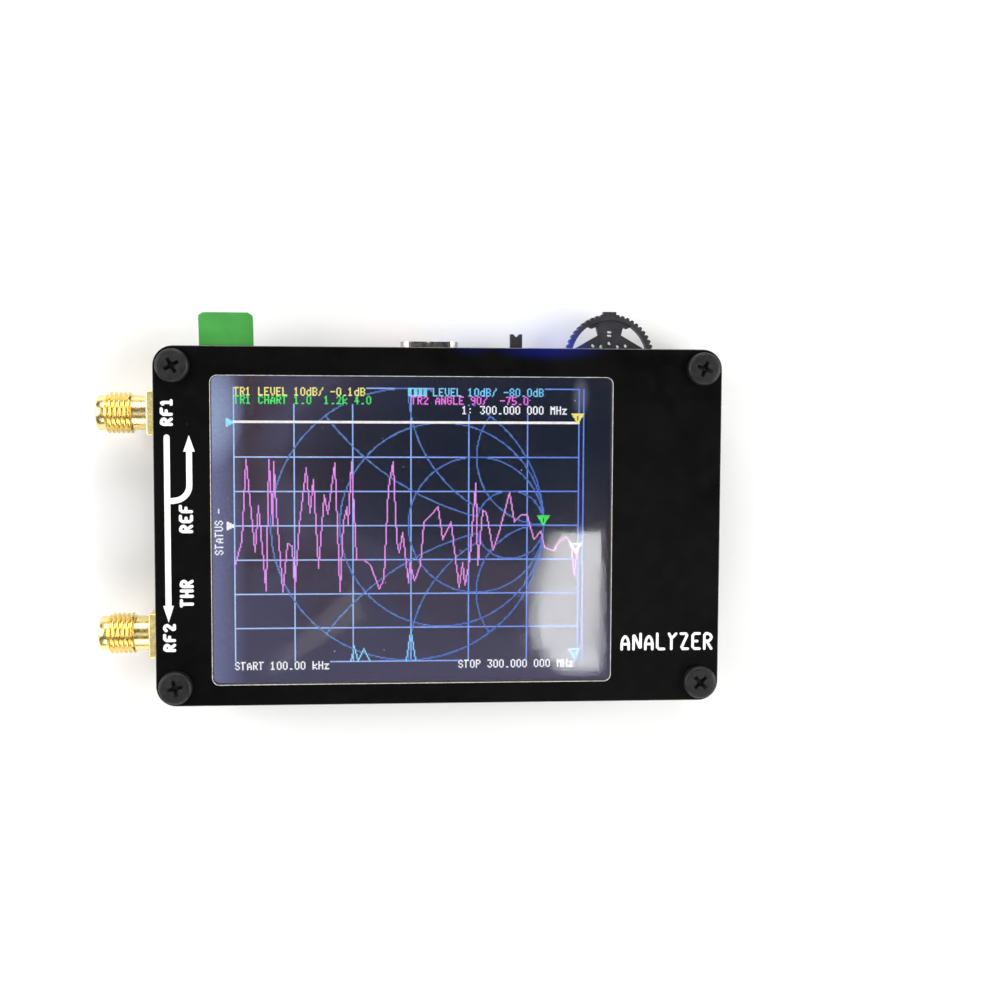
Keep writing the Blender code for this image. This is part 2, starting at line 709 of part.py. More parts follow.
def make_jog():
    """The thumb lever: a wheel on a pin, and under it a carriage that can be pushed inwards."""
    low = BACK_PANEL_Z + PANEL_THICKNESS
    carriage_z = low + 0.25
    web_z = carriage_z + CARRIAGE_THICKNESS + 0.25
    rim_z = low + RIM_LIFT
    push = new_empty("jog_push", (JOG_X, JOG_Y, 0), ASSEMBLY)
    tilt = new_empty("jog_tilt", (0, 0, 0), push)

    wheel = plate("jog_wheel", [rim_outline()], rim_z, RIM_HEIGHT, "black_plastic", tilt)
    web = plate("jog_web", web_outlines(), web_z, WEB_THICKNESS, "black_plastic", tilt)
    join(wheel, web)
    join(wheel, plate("jog_lining", [rim_lining_outline()], rim_z + 0.3, RIM_HEIGHT - 0.6,
                      "black_plastic", tilt))
    stop = box("jog_stop", (-STOP_WIDTH / 2, RIM_INNER_RADIUS + 0.2, rim_z + 0.2),
               (STOP_WIDTH / 2, STOP_RADIUS, rim_z + RIM_HEIGHT - 0.2), "black_plastic", tilt)
    join(wheel, stop)

    base_length, base_depth = JOG_BASE_SIZE
    base_front = JOG_Y - 4.0
    base_rear = base_front - base_depth
    rear_wall = 0.7
    tail = base_rear + rear_wall + JOG_TRAVEL + 0.15 - JOG_Y
    half = CARRIAGE_WIDTH / 2
    outline = [(half, tail), (half, 0), *arc((0, 0), half, 0, 180, 10)[1:-1], (-half, 0), (-half, tail)]
    carriage = plate("jog_carriage", [outline], carriage_z, CARRIAGE_THICKNESS, "black_plastic", push)
    pin_top = web_z + WEB_THICKNESS + 0.75
    join(carriage, cylinder("jog_pin", JOG_PIN_RADIUS, pin_top - carriage_z - 0.3, "black_plastic",
                            (0, 0, carriage_z + 0.3), push, segments=20))
    clip = [circle(1.6, steps=20), circle(JOG_PIN_RADIUS + TOUCH_GAP, steps=20)]
    plate("jog_retaining_clip", clip, web_z + WEB_THICKNESS + 0.12, 0.35, "steel", push)

    base = box("jog_base", (JOG_X - base_length / 2, base_rear, low + 0.1),
               (JOG_X + base_length / 2, base_front, UNDER_BOARD_Z), "black_plastic")
    channel = box("jog_channel", (JOG_X - half - 0.12, base_rear + rear_wall, low - 1),
                  (JOG_X + half + 0.12, base_front + 1, carriage_z + CARRIAGE_THICKNESS + 0.12),
                  "black_plastic")
    cut(base, channel)


# ---------------------------------------------------------------- electronics under the board


def hanging_box(name, centre, size, finish):
    """A component soldered to the underside of the main board."""
    x, y = centre
    length, width, height = size
    return box(name, (x - length / 2, y - width / 2, UNDER_BOARD_Z - height),
               (x + length / 2, y + width / 2, UNDER_BOARD_Z), finish)


def make_shield(name, y):
    """A pressed steel can over the receiver behind a jack, open towards the board."""
    centre, size, wall = (-28.0, y), (17.0, 15.0, 2.4), 0.25
    can = hanging_box(name, centre, size, "steel")
    x = centre[0]
    inside = box(
        f"{name}_inside",
        (x - size[0] / 2 + wall, y - size[1] / 2 + wall, UNDER_BOARD_Z - size[2] + wall),
        (x + size[0] / 2 - wall, y + size[1] / 2 - wall, UNDER_BOARD_Z + 1),
        "steel",
    )
    cut(can, inside)


def make_electronics():
    make_shield("receiver_shield_rear", 14.5)
    make_shield("receiver_shield_near", -14.5)
    hanging_box("processor_chip", (-9.0, 9.0), (7.0, 7.0, 1.4), "black_plastic")
    hanging_box("audio_codec_chip", (-10.0, -6.0), (5.0, 5.0, 0.9), "black_plastic")
    hanging_box("clock_chip", (-15.2, 1.0), (3.0, 3.0, 0.95), "black_plastic")
    hanging_box("reference_oscillator", (-9.6, 0.6), (3.2, 2.5, 1.0), "steel")
    hanging_box("charger_chip", (19.5, 15.0), (4.9, 3.9, 1.5), "black_plastic")
    hanging_box("power_inductor", (13.4, 15.4), (4.2, 4.2, 2.0), "foam")
    hanging_box("power_led", (18.4, EDGE_Y - 1.6), (0.9, 1.6, 0.7), "blue_led")
    hanging_box("status_led", (5.2, EDGE_Y - 1.2), (1.6, 0.9, 0.7), "blue_led")
    hanging_box("charge_led", (-7.6, EDGE_Y - 1.2), (1.6, 0.9, 0.7), "red_led")


def make_battery():
    """A pouch cell taped under the board, with its two leads and their plug."""
    length, width, height = BATTERY_SIZE
    x, y = BATTERY_CENTRE
    tape = 0.2
    tape_bottom = UNDER_BOARD_Z - tape
    box("battery_tape", (x - length / 2 + 3, y - width / 2 + 4, tape_bottom),
        (x + length / 2 - 3, y + width / 2 - 4, UNDER_BOARD_Z), "foam")
    top = tape_bottom - TOUCH_GAP
    cell = box("battery_cell", (x - length / 2, y - width / 2, top - height),
               (x + length / 2, y + width / 2, top), "silver_foil")
    bevel(cell, 0.7)

    socket_x, socket_front = 6.4, 8.4
    socket = hanging_box("battery_socket", (socket_x, socket_front + 2.4), (6.0, 4.8, 3.4), "white_plastic")
    mouth = box("battery_socket_mouth", (socket_x - 2.4, socket_front - 1, UNDER_BOARD_Z - 2.9),
                (socket_x + 2.4, socket_front + 3.6, UNDER_BOARD_Z - 0.5), "white_plastic")
    cut(socket, mouth)
    box("battery_plug", (socket_x - 2.3, socket_front - 1.6, UNDER_BOARD_Z - 2.8),
        (socket_x + 2.3, socket_front + 3.4, UNDER_BOARD_Z - 0.6), "white_plastic")
    plug_z = UNDER_BOARD_Z - 1.7
    plug_y = socket_front - 1.6 - TOUCH_GAP
    cell_y = y + width / 2 + TOUCH_GAP
    cell_z = top - height / 2
    for name, finish, plug_x, cell_x in (
        ("battery_lead_red", "red_wire", socket_x + 1.0, 11.0),
        ("battery_lead_black", "black_wire", socket_x - 1.0, 8.6),
    ):
        wire(name, [(plug_x, plug_y, plug_z), (plug_x, plug_y - 0.7, plug_z - 0.1),
                    ((plug_x + cell_x) / 2, (plug_y + cell_y) / 2, (plug_z + cell_z) / 2),
                    (cell_x, cell_y + 0.7, cell_z + 0.1), (cell_x, cell_y, cell_z)],
             LEAD_RADIUS, finish)


clear_scene()
PARTS = new_collection("vector_network_analyzer")
HELPERS = new_collection("cutters_and_joined_shapes")
ASSEMBLY = new_empty("assembly", (-BOX_CENTRE[0], -BOX_CENTRE[1], 0))
make_boards()
make_fasteners()
make_display()
make_jack("port_1_jack", JACK_SPACING / 2)
make_jack("port_2_jack", -JACK_SPACING / 2)
make_usb_socket()
make_slide_switch()
make_jog()
make_electronics()
make_battery()
bpy.context.view_layer.update()
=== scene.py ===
"""Looks of the pocket vector network analyser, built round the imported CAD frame.

Lengths in the constants are millimetres. Panel coordinates are measured from the middle of the
front panel's upper face: +X to the right, +Y to the rear edge, +Z up.
"""

import math
import random

import bmesh
import bpy
from mathutils import Euler, Matrix, Vector


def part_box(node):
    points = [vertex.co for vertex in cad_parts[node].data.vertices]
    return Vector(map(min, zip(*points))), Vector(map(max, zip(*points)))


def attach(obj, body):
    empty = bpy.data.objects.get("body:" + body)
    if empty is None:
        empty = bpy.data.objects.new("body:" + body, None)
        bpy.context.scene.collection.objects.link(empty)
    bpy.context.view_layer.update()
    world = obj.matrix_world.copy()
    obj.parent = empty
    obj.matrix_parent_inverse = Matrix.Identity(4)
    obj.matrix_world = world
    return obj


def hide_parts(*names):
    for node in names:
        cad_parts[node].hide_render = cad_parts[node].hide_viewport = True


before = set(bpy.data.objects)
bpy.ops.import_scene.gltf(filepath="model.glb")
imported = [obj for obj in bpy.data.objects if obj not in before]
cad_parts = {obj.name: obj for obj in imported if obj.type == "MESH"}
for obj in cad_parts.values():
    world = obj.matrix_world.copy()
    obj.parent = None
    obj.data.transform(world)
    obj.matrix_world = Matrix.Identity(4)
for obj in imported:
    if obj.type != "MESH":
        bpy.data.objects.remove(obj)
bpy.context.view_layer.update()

MM = 0.001

# Boards
CHAMFER = 0.09  # the mask ends this far from a milled edge and shows the bare laminate
CORNER_RADIUS = 3.0
HOLE_INSET = 3.0
HOLE_RADIUS = 1.35
WINDOW_CORNER = 1.0
RIM = 1.5  # chamfers within this of a board's outline are darker
PAD_RADII = (2.45, 1.55)  # outside and inside of the gold ring round a screw hole

# Display, whose picture is drawn in the instrument's own pixels
PIXEL = 0.18
PIXELS = (320, 240)
PICTURE_OFFSET = (-1.91, 0.136)  # middle of the lit area from the middle of the window
TOP_ROW = 1
ROW_PITCH = 29
ROWS = 8
COLUMN_LINES = (20, 70, 119, 168, 217, 267, 311, 315)
CHART_CENTRE = (165.8, 116.5)
CHART_RADIUS = 115.6
CELL = 5  # width of a character cell in pixels

# Lettering on the front panel
INK_HEIGHT = 0.03
LINE_WIDTH = 0.88
LABEL_STROKE = 0.46
NAME_STROKE = 0.4
STROKE_STEP = 0.00001  # how much higher each next point's stroke is, so that no two tops meet
HEAD_INK = 0.045  # height of the arrow heads' ink

# Light that leaks from the LEDs: its centre on the panel and its reach along X and Y
POWER_LEAK = ((16.2, 27.3), (10.5, 2.7))
STATUS_LEAK = ((4.6, 27.3), (4.6, 1.9))
WHEEL_LEAK = ((18.4, 25.5), (5.6, 7.5))
LED_POWER = 0.00025
LED_GLOW = 9.0
CHARGE_GLOW = 5.0

# Marks on the display's glow, given in the same way: a painted reflection of the surroundings in the upper
# left corner, a lighter smear at the upper right edge and a darker middle
CORNER_REFLECTION = ((-35.5, 17), (6, 9))
EDGE_SMEAR = ((21.4, 19.6), (1.6, 3.6))
DARK_MIDDLE = ((9, 11), (33, 17))

# Camera: where the panel's middle lies from it, and how the panel is tilted to it
LENS = 48.6
PANEL_FROM_CAMERA = (-8.838, -4.059, -204.113)
PANEL_TILT = (3.786, 4.494, 0.049)

# World light on the object, and how bright the world looks to the camera
AMBIENT = 0.05
BACKDROP = 1.0
FLOOR_HALF = 12000
FLOOR_GAP = 0.2

# Reflections in the glass and the jacks
CARD_HEIGHT = 400
WINDOW_RIM = 1.5  # width of the bright window's dimmer left rim
WINDOW_RADIANCE = 12.5
RIM_RADIANCE = 6.0
JACK_RADIANCE = 2.2
STREAK_RADIANCE = 0.9

LOW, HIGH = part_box("front_panel")
PANEL_SIZE = ((HIGH.x - LOW.x) / MM, (HIGH.y - LOW.y) / MM)
PANEL = Vector(((LOW.x + HIGH.x) / 2, (LOW.y + HIGH.y) / 2, HIGH.z))

scene = bpy.context.scene


def place(x, y, z=0.0):
    """A point in panel coordinates, as a place in the frame."""
    return PANEL + Vector((x, y, z)) * MM


def middle(node):
    """The middle of a CAD node in panel coordinates."""
    low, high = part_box(node)
    return ((low + high) / 2 - PANEL) / MM


def corners(node):
    """The lowest and highest corners of a CAD node in panel coordinates."""
    return [tuple((c - origin) / MM for c, origin in zip(corner, PANEL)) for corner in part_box(node)]


def level(node, which):
    """The bottom (0) or top (1) of a CAD node in panel coordinates."""
    return corners(node)[which][2]


# ---- materials


class Finish:
    """A Principled material with the few node chains that the finishes below share."""

    def __init__(self, name, colour, roughness, metallic=0.0, **sockets):
        self.material = bpy.data.materials.new(name)
        self.material.use_nodes = True
        self.nodes = self.material.node_tree.nodes
        self.links = self.material.node_tree.links
        self.shader = self.nodes["Principled BSDF"]
        self.colour = colour
        self.height = None
        self.set("Base Color", (*colour, 1))
        self.set("Roughness", roughness)
        self.set("Metallic", metallic)
        for socket, value in sockets.items():
            self.set(socket.replace("_", " "), value)
        self.coordinates = self.nodes.new("ShaderNodeTexCoord").outputs["Object"]

    def set(self, socket, value):
        self.shader.inputs[socket].default_value = value

    def link(self, source, target):
        self.links.new(source, target)

    def math(self, operation, first, second=0.0, clamp=False):
        node = self.nodes.new("ShaderNodeMath")
        node.operation = operation
        node.use_clamp = clamp
        for socket, value in zip(node.inputs, (first, second)):
            if isinstance(value, (int, float)):
                socket.default_value = value
            else:
                self.link(value, socket)
        return node.outputs[0]

    def noise(self, size, detail=3.0, stretch=(1, 1, 1), seed=0.0):
        """Noise whose features are about size millimetres across."""
        mapping = self.nodes.new("ShaderNodeMapping")
        mapping.inputs["Scale"].default_value = stretch
        mapping.inputs["Location"].default_value = (seed, seed, seed)
        self.link(self.coordinates, mapping.inputs["Vector"])
        node = self.nodes.new("ShaderNodeTexNoise")
        node.inputs["Scale"].default_value = 1 / (size * MM)
        node.inputs["Detail"].default_value = detail
        self.link(mapping.outputs["Vector"], node.inputs["Vector"])
        return node.outputs["Fac"]

    def ramp(self, value, low, high, low_out=0.0, high_out=1.0):
        node = self.nodes.new("ShaderNodeMapRange")
        self.link(value, node.inputs["Value"])
        for socket, number in zip(("From Min", "From Max", "To Min", "To Max"),
                                  (low, high, low_out, high_out)):
            node.inputs[socket].default_value = number
        return node.outputs["Result"]

    def mix(self, factor, first, second):
        node = self.nodes.new("ShaderNodeMix")
        node.data_type = "RGBA"
        self.link(factor, node.inputs["Factor"])
        for socket, value in ((node.inputs[6], first), (node.inputs[7], second)):
            if isinstance(value, tuple):
                socket.default_value = (*value, 1)
            else:
                self.link(value, socket)
        return node.outputs[2]

    def paint(self, colour):
        self.colour = colour
        self.link(colour, self.shader.inputs["Base Color"])

    def blotches(self, size, second, low=0.4, high=0.62, seed=0.0, stretch=(1, 1, 1)):
        """Lays patches of a second colour over what is painted so far."""
        patch = self.ramp(self.noise(size, 4.0, stretch, seed), low, high)
        self.paint(self.mix(patch, self.colour, second))

    def specks(self, spacing, share, colour, radius):
        """Sparse dots, such as dust: about that share of the cells of a grid holds one."""
        node = self.nodes.new("ShaderNodeTexVoronoi")
        node.inputs["Scale"].default_value = 1 / (spacing * MM)
        self.link(self.coordinates, node.inputs["Vector"])
        near = self.math("LESS_THAN", node.outputs["Distance"], radius)
        split = self.nodes.new("ShaderNodeSeparateColor")
        self.link(node.outputs["Color"], split.inputs[0])
        chosen = self.math("LESS_THAN", split.outputs[0], share)
        self.paint(self.mix(self.math("MULTIPLY", near, chosen), self.colour, colour))

    def sheen_spread(self, size, low, high, seed=3.0):
        """Lets the roughness wander between two values."""
        value = self.ramp(self.noise(size, 4.0, (1, 1, 1), seed), 0.3, 0.7, low, high)
        self.link(value, self.shader.inputs["Roughness"])

    def bump(self, height, depth, strength):
        """Raises the surface by a height map, up to depth millimetres."""
        node = self.nodes.new("ShaderNodeBump")
        node.inputs["Strength"].default_value = strength
        node.inputs["Distance"].default_value = depth * MM
        self.link(height, node.inputs["Height"])
        if self.height:
            self.link(self.height, node.inputs["Normal"])
        self.height = node.outputs["Normal"]
        self.link(self.height, self.shader.inputs["Normal"])

    def glow(self, colour, strength):
        if isinstance(colour, tuple):
            self.set("Emission Color", (*colour, 1))
        else:
            self.link(colour, self.shader.inputs["Emission Color"])
        if isinstance(strength, (int, float)):
            self.set("Emission Strength", strength)
        else:
            self.link(strength, self.shader.inputs["Emission Strength"])

    def axis(self, name):
        split = self.nodes.new("ShaderNodeSeparateXYZ")
        self.link(self.coordinates, split.inputs[0])
        return split.outputs[name]

    def spot(self, centre, reach):
        """One at a place in panel coordinates, falling to nothing at its reach along X and Y."""
        terms = []
        for axis, middle_mm, reach_mm, origin in zip("XY", centre, reach, (PANEL.x, PANEL.y)):
            offset = self.math("SUBTRACT", self.axis(axis), origin + middle_mm * MM)
            scaled = self.math("DIVIDE", offset, reach_mm * MM)
            terms.append(self.math("MULTIPLY", scaled, scaled))
        return self.math("SUBTRACT", 1.0, self.math("ADD", *terms), clamp=True)


def solder_mask():
    """Black mask over glass fibre: dark patches, faint weave, dust, and LED light near the edge."""
    finish = Finish("solder_mask", (0.0008, 0.0006, 0.0009), 0.4, Specular_IOR_Level=0.1)
    finish.blotches(9.0, (0.0021, 0.0016, 0.0018), seed=1.0)
    finish.blotches(2.2, (0.0019, 0.0022, 0.0021), 0.45, 0.7, seed=5.0)
    finish.specks(1.5, 0.05, (0.09, 0.085, 0.08), 0.035)
    finish.sheen_spread(6.0, 0.3, 0.44)
    finish.bump(finish.noise(0.55, 2.0), 0.004, 0.5)
    finish.bump(finish.noise(7.0, 1.0, seed=2.0), 0.012, 0.5)
    leak = finish.spot(*POWER_LEAK)
    leak = finish.math("POWER", leak, 2.2)
    near = finish.math("POWER", finish.spot(*STATUS_LEAK), 2.0)
    light = finish.math("ADD", leak, finish.math("MULTIPLY", near, 0.32))
    above = finish.math("GREATER_THAN", finish.axis("Z"), PANEL.z - 0.5 * MM)
    share = finish.math("MULTIPLY", above, 0.22)
    finish.glow((0.012, 0.035, 0.62), finish.math("MULTIPLY", light, share))
    return finish.material


def laminate(name, shade):
    """A milled edge of glass-fibre board: pale plies with beads where the weave is cut."""
    finish = Finish(name, (shade, shade * 0.98, shade * 0.95), 0.5)
    finish.blotches(0.35, (shade * 1.6, shade * 1.58, shade * 1.55), 0.42, 0.6, seed=4.0)
    finish.blotches(0.22, (0.2, 0.17, 0.12), 0.56, 0.72, seed=8.0, stretch=(1, 1, 3))
    finish.bump(finish.noise(0.16, 2.0), 0.03, 0.6)
    return finish.material


def core():
    """The milled wall of a board, darker than the bare laminate of its chamfers."""
    finish = Finish("board_core", (0.05, 0.045, 0.035), 0.6)
    finish.blotches(0.5, (0.12, 0.1, 0.07), 0.45, 0.65, seed=4.0, stretch=(1, 1, 3))
    finish.bump(finish.noise(0.16, 2.0), 0.03, 0.6)
    return finish.material


def ink():
    """Thick white legend ink, a little rough at its rims."""
    finish = Finish("legend_ink", (0.93, 0.93, 0.92), 0.55)
    finish.blotches(0.5, (0.8, 0.8, 0.8), 0.5, 0.75, seed=6.0)
    finish.bump(finish.noise(0.12, 3.0), 0.01, 0.5)
    return finish.material


def gold_plate():
    finish = Finish("gold_plate", (1.0, 0.8, 0.34), 0.2, 1.0)
    finish.blotches(1.3, (1.0, 0.8, 0.36), seed=2.0)
    finish.blotches(0.5, (0.83, 0.52, 0.15), 0.66, 0.8, seed=9.0)
    finish.sheen_spread(0.8, 0.2, 0.34)
    finish.bump(finish.noise(0.3, 3.0, (0.3, 1, 1)), 0.002, 0.4)
    return finish.material


def pad_gold():
    """Immersion gold on copper pads, duller than plating."""
    finish = Finish("pad_gold", (0.95, 0.68, 0.3), 0.35, 1.0)
    finish.blotches(0.6, (0.8, 0.55, 0.25), seed=3.0)
    finish.sheen_spread(0.4, 0.28, 0.5)
    return finish.material


def black_oxide():
    """Blackened steel with a fine grain, rubbed a little brighter here and there."""
    finish = Finish("black_oxide", (0.009, 0.0082, 0.008), 0.4, 0.3)
    finish.blotches(0.9, (0.017, 0.0155, 0.015), 0.42, 0.7, seed=7.0)
    finish.blotches(0.35, (0.05, 0.045, 0.04), 0.66, 0.82, seed=2.0)
    finish.sheen_spread(0.7, 0.34, 0.58)
    finish.bump(finish.noise(0.14, 3.0), 0.012, 0.6)
    return finish.material


def brass():
    finish = Finish("standoff_brass", (0.83, 0.63, 0.28), 0.3, 1.0)
    finish.blotches(1.6, (0.62, 0.43, 0.17), seed=4.0)
    finish.sheen_spread(1.0, 0.2, 0.42)
    finish.bump(finish.noise(0.2, 2.0, (1, 1, 0.15)), 0.006, 0.6)
    return finish.material


def steel(name="nickel_steel", colour=(0.62, 0.6, 0.58), low=0.2, high=0.38):
    finish = Finish(name, colour, 0.28, 1.0)
    finish.blotches(1.5, tuple(c * 0.72 for c in colour), seed=5.0)
    finish.sheen_spread(0.9, low, high)
    finish.bump(finish.noise(0.12, 2.0, (0.1, 1, 1)), 0.003, 0.6)
    return finish.material


def moulded(name, colour, roughness=0.5, grain=0.18, **sockets):
    """Injection-moulded plastic with a fine spark-eroded grain."""
    finish = Finish(name, colour, roughness, **sockets)
    shift = 1.35 if max(colour) < 0.3 else 0.93
    finish.blotches(1.8, tuple(c * shift for c in colour), seed=1.0)
    finish.sheen_spread(1.2, roughness - 0.1, roughness + 0.1)
    finish.bump(finish.noise(grain, 2.0), 0.01, 0.6)
    return finish.material


def lever_plastic():
    """Dark moulded plastic that the power LED shines through at the wheel's left rim."""
    finish = Finish("lever_plastic", (0.02, 0.02, 0.025), 0.45)
    finish.blotches(1.8, (0.03, 0.03, 0.036), seed=1.0)
    finish.sheen_spread(1.2, 0.36, 0.54)
    finish.bump(finish.noise(0.18, 2.0), 0.01, 0.6)
    lit_rim = finish.math("POWER", finish.spot(*WHEEL_LEAK), 1.2)
    finish.glow((0.002, 0.035, 0.6), finish.math("MULTIPLY", lit_rim, 0.62))
    return finish.material


def foil_pouch():
    """Aluminium-plastic laminate with the soft dents of a pouch cell."""
    finish = Finish("foil_pouch", (0.62, 0.63, 0.65), 0.36, 0.85)
    finish.blotches(5.0, (0.48, 0.49, 0.51), seed=3.0)
    finish.sheen_spread(2.0, 0.28, 0.48)
    finish.bump(finish.noise(4.0, 3.0), 0.12, 0.5)
    finish.bump(finish.noise(0.3, 2.0), 0.008, 0.5)
    return finish.material


def green_film():
    """Opaque green film with paler patches and a faint coat."""
    finish = Finish("green_film", (0.036, 0.27, 0.036), 0.42, Coat_Weight=0.1, Coat_Roughness=0.4)
    finish.blotches(4.5, (0.055, 0.34, 0.055), 0.35, 0.7, seed=2.0)
    finish.sheen_spread(2.5, 0.34, 0.5)
    finish.bump(finish.noise(1.6, 2.0), 0.02, 0.4)
    return finish.material


def clear(name, roughness, smears, **sockets):
    """Clear glass or film whose shine is broken by finger smears and fine scratches."""
    finish = Finish(name, (0.97, 0.98, 1.0), roughness, Transmission_Weight=1.0, **sockets)
    finish.sheen_spread(7.0, roughness * 0.5, roughness * 1.6)
    if smears:
        finish.bump(finish.noise(0.7, 4.0, (1, 0.12, 1), 4.0), 0.002, smears)
        finish.bump(finish.noise(18.0, 1.0), 0.05, smears)
    return finish.material


def display_black():
    finish = Finish("display_border", (0.008, 0.007, 0.01), 0.16)
    finish.blotches(6.0, (0.012, 0.009, 0.009), seed=2.0)
    finish.sheen_spread(4.0, 0.12, 0.22)
    return finish.material


def lcd_ground():
    """The unlit picture: leaking backlight, bluer at the left and below, with warm patches, a lighter smear
    at the upper right, a darker middle and a painted reflection glowing in the upper left corner.
    """
    finish = Finish("lcd_ground", (0.004, 0.004, 0.006), 0.3)
    left = PANEL.x - 35 * MM
    across = finish.ramp(finish.axis("X"), left, left + 60 * MM)
    colour = finish.mix(across, (0.078, 0.071, 0.122), (0.026, 0.024, 0.036))
    warm = finish.ramp(finish.noise(11.0, 2.0, seed=1.0), 0.42, 0.66)
    colour = finish.mix(warm, colour, (0.058, 0.04, 0.056))
    lower = finish.ramp(finish.axis("Y"), PANEL.y + 4 * MM, PANEL.y - 22.5 * MM)
    lower = finish.math("POWER", lower, 3.0)
    colour = finish.mix(lower, colour, (0.075, 0.068, 0.118))
    edge = finish.ramp(finish.axis("X"), left + 5.6 * MM, left + 1.0 * MM)
    colour = finish.mix(edge, colour, (0.16, 0.165, 0.3))
    # Painted reflection: the surroundings mirrored in the glass, painted into the glow of the upper left
    # corner
    painted_reflection = finish.math("POWER", finish.spot(*CORNER_REFLECTION), 1.2)
    colour = finish.mix(painted_reflection, colour, (0.33, 0.4, 0.58))
    smear = finish.math("POWER", finish.spot(*EDGE_SMEAR), 1.5)
    colour = finish.mix(smear, colour, (0.34, 0.33, 0.4))
    dark = finish.math("POWER", finish.spot(*DARK_MIDDLE), 0.5)
    colour = finish.mix(finish.math("MULTIPLY", dark, 0.9), colour, (0.003, 0.009, 0.021))
    grain = finish.ramp(finish.noise(0.4, 2.0), 0.2, 0.8, 0.86, 1.14)
    finish.glow(colour, grain)
    finish.set("Specular IOR Level", 0.2)
    return finish.material


def lit(name, left_colour, right_colour, strength=1.0):
    """Light of a drawn line, which looks paler at the left where the eye is further off axis."""
    finish = Finish(name, (0.01, 0.01, 0.01), 0.5)
    left = PANEL.x - 32 * MM
    across = finish.ramp(finish.axis("X"), left, left + 52 * MM)
    ripple = finish.ramp(finish.noise(0.5, 2.0), 0.25, 0.75, 0.82 * strength, 1.15 * strength)
    finish.glow(finish.mix(across, left_colour, right_colour), ripple)
    return finish.material


def led(name, colour, strength):
    finish = Finish(name, tuple(0.5 + 0.4 * c for c in colour), 0.2, Coat_Weight=0.4)
    finish.blotches(0.3, colour, seed=1.0)
    finish.glow(colour, strength)
    return finish.material


def floor_paper():
    finish = Finish("white_paper", (0.93, 0.93, 0.92), 0.7, Specular_IOR_Level=0.1)
    finish.blotches(40.0, (0.91, 0.91, 0.91), seed=2.0)
    finish.bump(finish.noise(0.6, 3.0), 0.01, 0.3)
    near = finish.spot((0, 0), (900, 900))
    finish.glow((1.0, 1.0, 1.0), finish.ramp(near, 0.0, 1.0, 1.0, 0.0))
    return finish.material


MASK = solder_mask()
LAMINATE = laminate("bare_laminate", 0.5)
# The same laminate, darker, for the chamfers along a board's outline
DARK_RIM_LAMINATE = laminate("dark_rim_laminate", 0.1)
CORE = core()
INK = ink()
GOLD = gold_plate()
PAD = pad_gold()
OXIDE = black_oxide()
BRASS = brass()
STEEL = steel()
TIN = steel("tin_plate", (0.56, 0.56, 0.55), 0.3, 0.5)
LEVER = lever_plastic()
BLACK_PLASTIC = moulded("black_plastic", (0.014, 0.014, 0.015), 0.45)
CHIP = moulded("chip_epoxy", (0.016, 0.016, 0.017), 0.55, 0.1)
WHITE_PLASTIC = moulded("white_plastic", (0.78, 0.77, 0.72), 0.4)
PTFE = moulded("ptfe", (0.86, 0.85, 0.81), 0.42, 0.3, Subsurface_Weight=0.2)
FERRITE = moulded("ferrite", (0.05, 0.05, 0.054), 0.62, 0.2)
FOAM = moulded("foam", (0.03, 0.03, 0.03), 0.9, 0.35)
CERAMIC = moulded("ceramic_body", (0.46, 0.33, 0.2), 0.5, 0.15)
POLYIMIDE = moulded("polyimide", (0.42, 0.17, 0.03), 0.3, 0.3, Coat_Weight=0.4)
AMBER_TAPE = moulded("amber_tape", (0.62, 0.3, 0.03), 0.25, 0.4, Coat_Weight=0.5)
RED_WIRE = moulded("red_insulation", (0.5, 0.012, 0.012), 0.35, 0.3)
BLACK_WIRE = moulded("black_insulation", (0.012, 0.012, 0.012), 0.35, 0.3)


# ---- mesh helpers


def piece(name, mesh, materials, body="root", replaces=(), smooth=0.0):
    """Makes a mesh, or a bmesh still open, a piece of the object that rides on a CAD body."""
    if isinstance(mesh, bmesh.types.BMesh):
        mesh = to_mesh(mesh, name)
    for made in materials:
        mesh.materials.append(made)
    if smooth:
        mesh.shade_smooth()
        mesh.set_sharp_from_angle(angle=math.radians(smooth))
    obj = bpy.data.objects.new(name, mesh)
    scene.collection.objects.link(obj)
    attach(obj, body)
    if replaces:
        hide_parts(*replaces)
    return obj


def finish_node(node, *materials):
    """Gives a CAD node its material."""
    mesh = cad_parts[node].data
    mesh.materials.clear()
    for made in materials:
        mesh.materials.append(made)
    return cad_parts[node]


def soften(obj, width, segments=2, angle=30):
    """Rounds the edges of a node or a piece."""
    modifier = obj.modifiers.new("soft_edges", "BEVEL")
    modifier.width = width * MM
    modifier.segments = segments
    modifier.limit_method = "ANGLE"
    modifier.angle_limit = math.radians(angle)
    modifier.harden_normals = True
    modifier.use_clamp_overlap = True


def add_box(bm, low, high, index=0):
    """A closed box between two corners in panel coordinates, with a material index."""
    outline = [(low[0], low[1]), (high[0], low[1]), (high[0], high[1]), (low[0], high[1])]
    add_prism(bm, outline, low[2], high[2], index)


def add_prism(bm, outline, low, high, index=0):
    """A closed prism over a convex outline in panel coordinates."""
    bottom = [bm.verts.new(place(x, y, low)) for x, y in outline]
    top = [bm.verts.new(place(x, y, high)) for x, y in outline]
    faces = [bm.faces.new(bottom), bm.faces.new(top)]
    for a in range(len(outline)):
        b = (a + 1) % len(outline)
        faces.append(bm.faces.new((bottom[a], bottom[b], top[b], top[a])))
    for face in faces:
        face.material_index = index


def to_mesh(bm, name):
    bmesh.ops.recalc_face_normals(bm, faces=bm.faces)
    mesh = bpy.data.meshes.new(name)
    bm.to_mesh(mesh)
    bm.free()
    return mesh


def arc(centre, radius, start, end, steps):
    """Points along an arc, both ends included, with angles in degrees."""
    angles = [math.radians(start + (end - start) * i / steps) for i in range(steps + 1)]
    return [(centre[0] + radius * math.cos(a), centre[1] + radius * math.sin(a)) for a in angles]


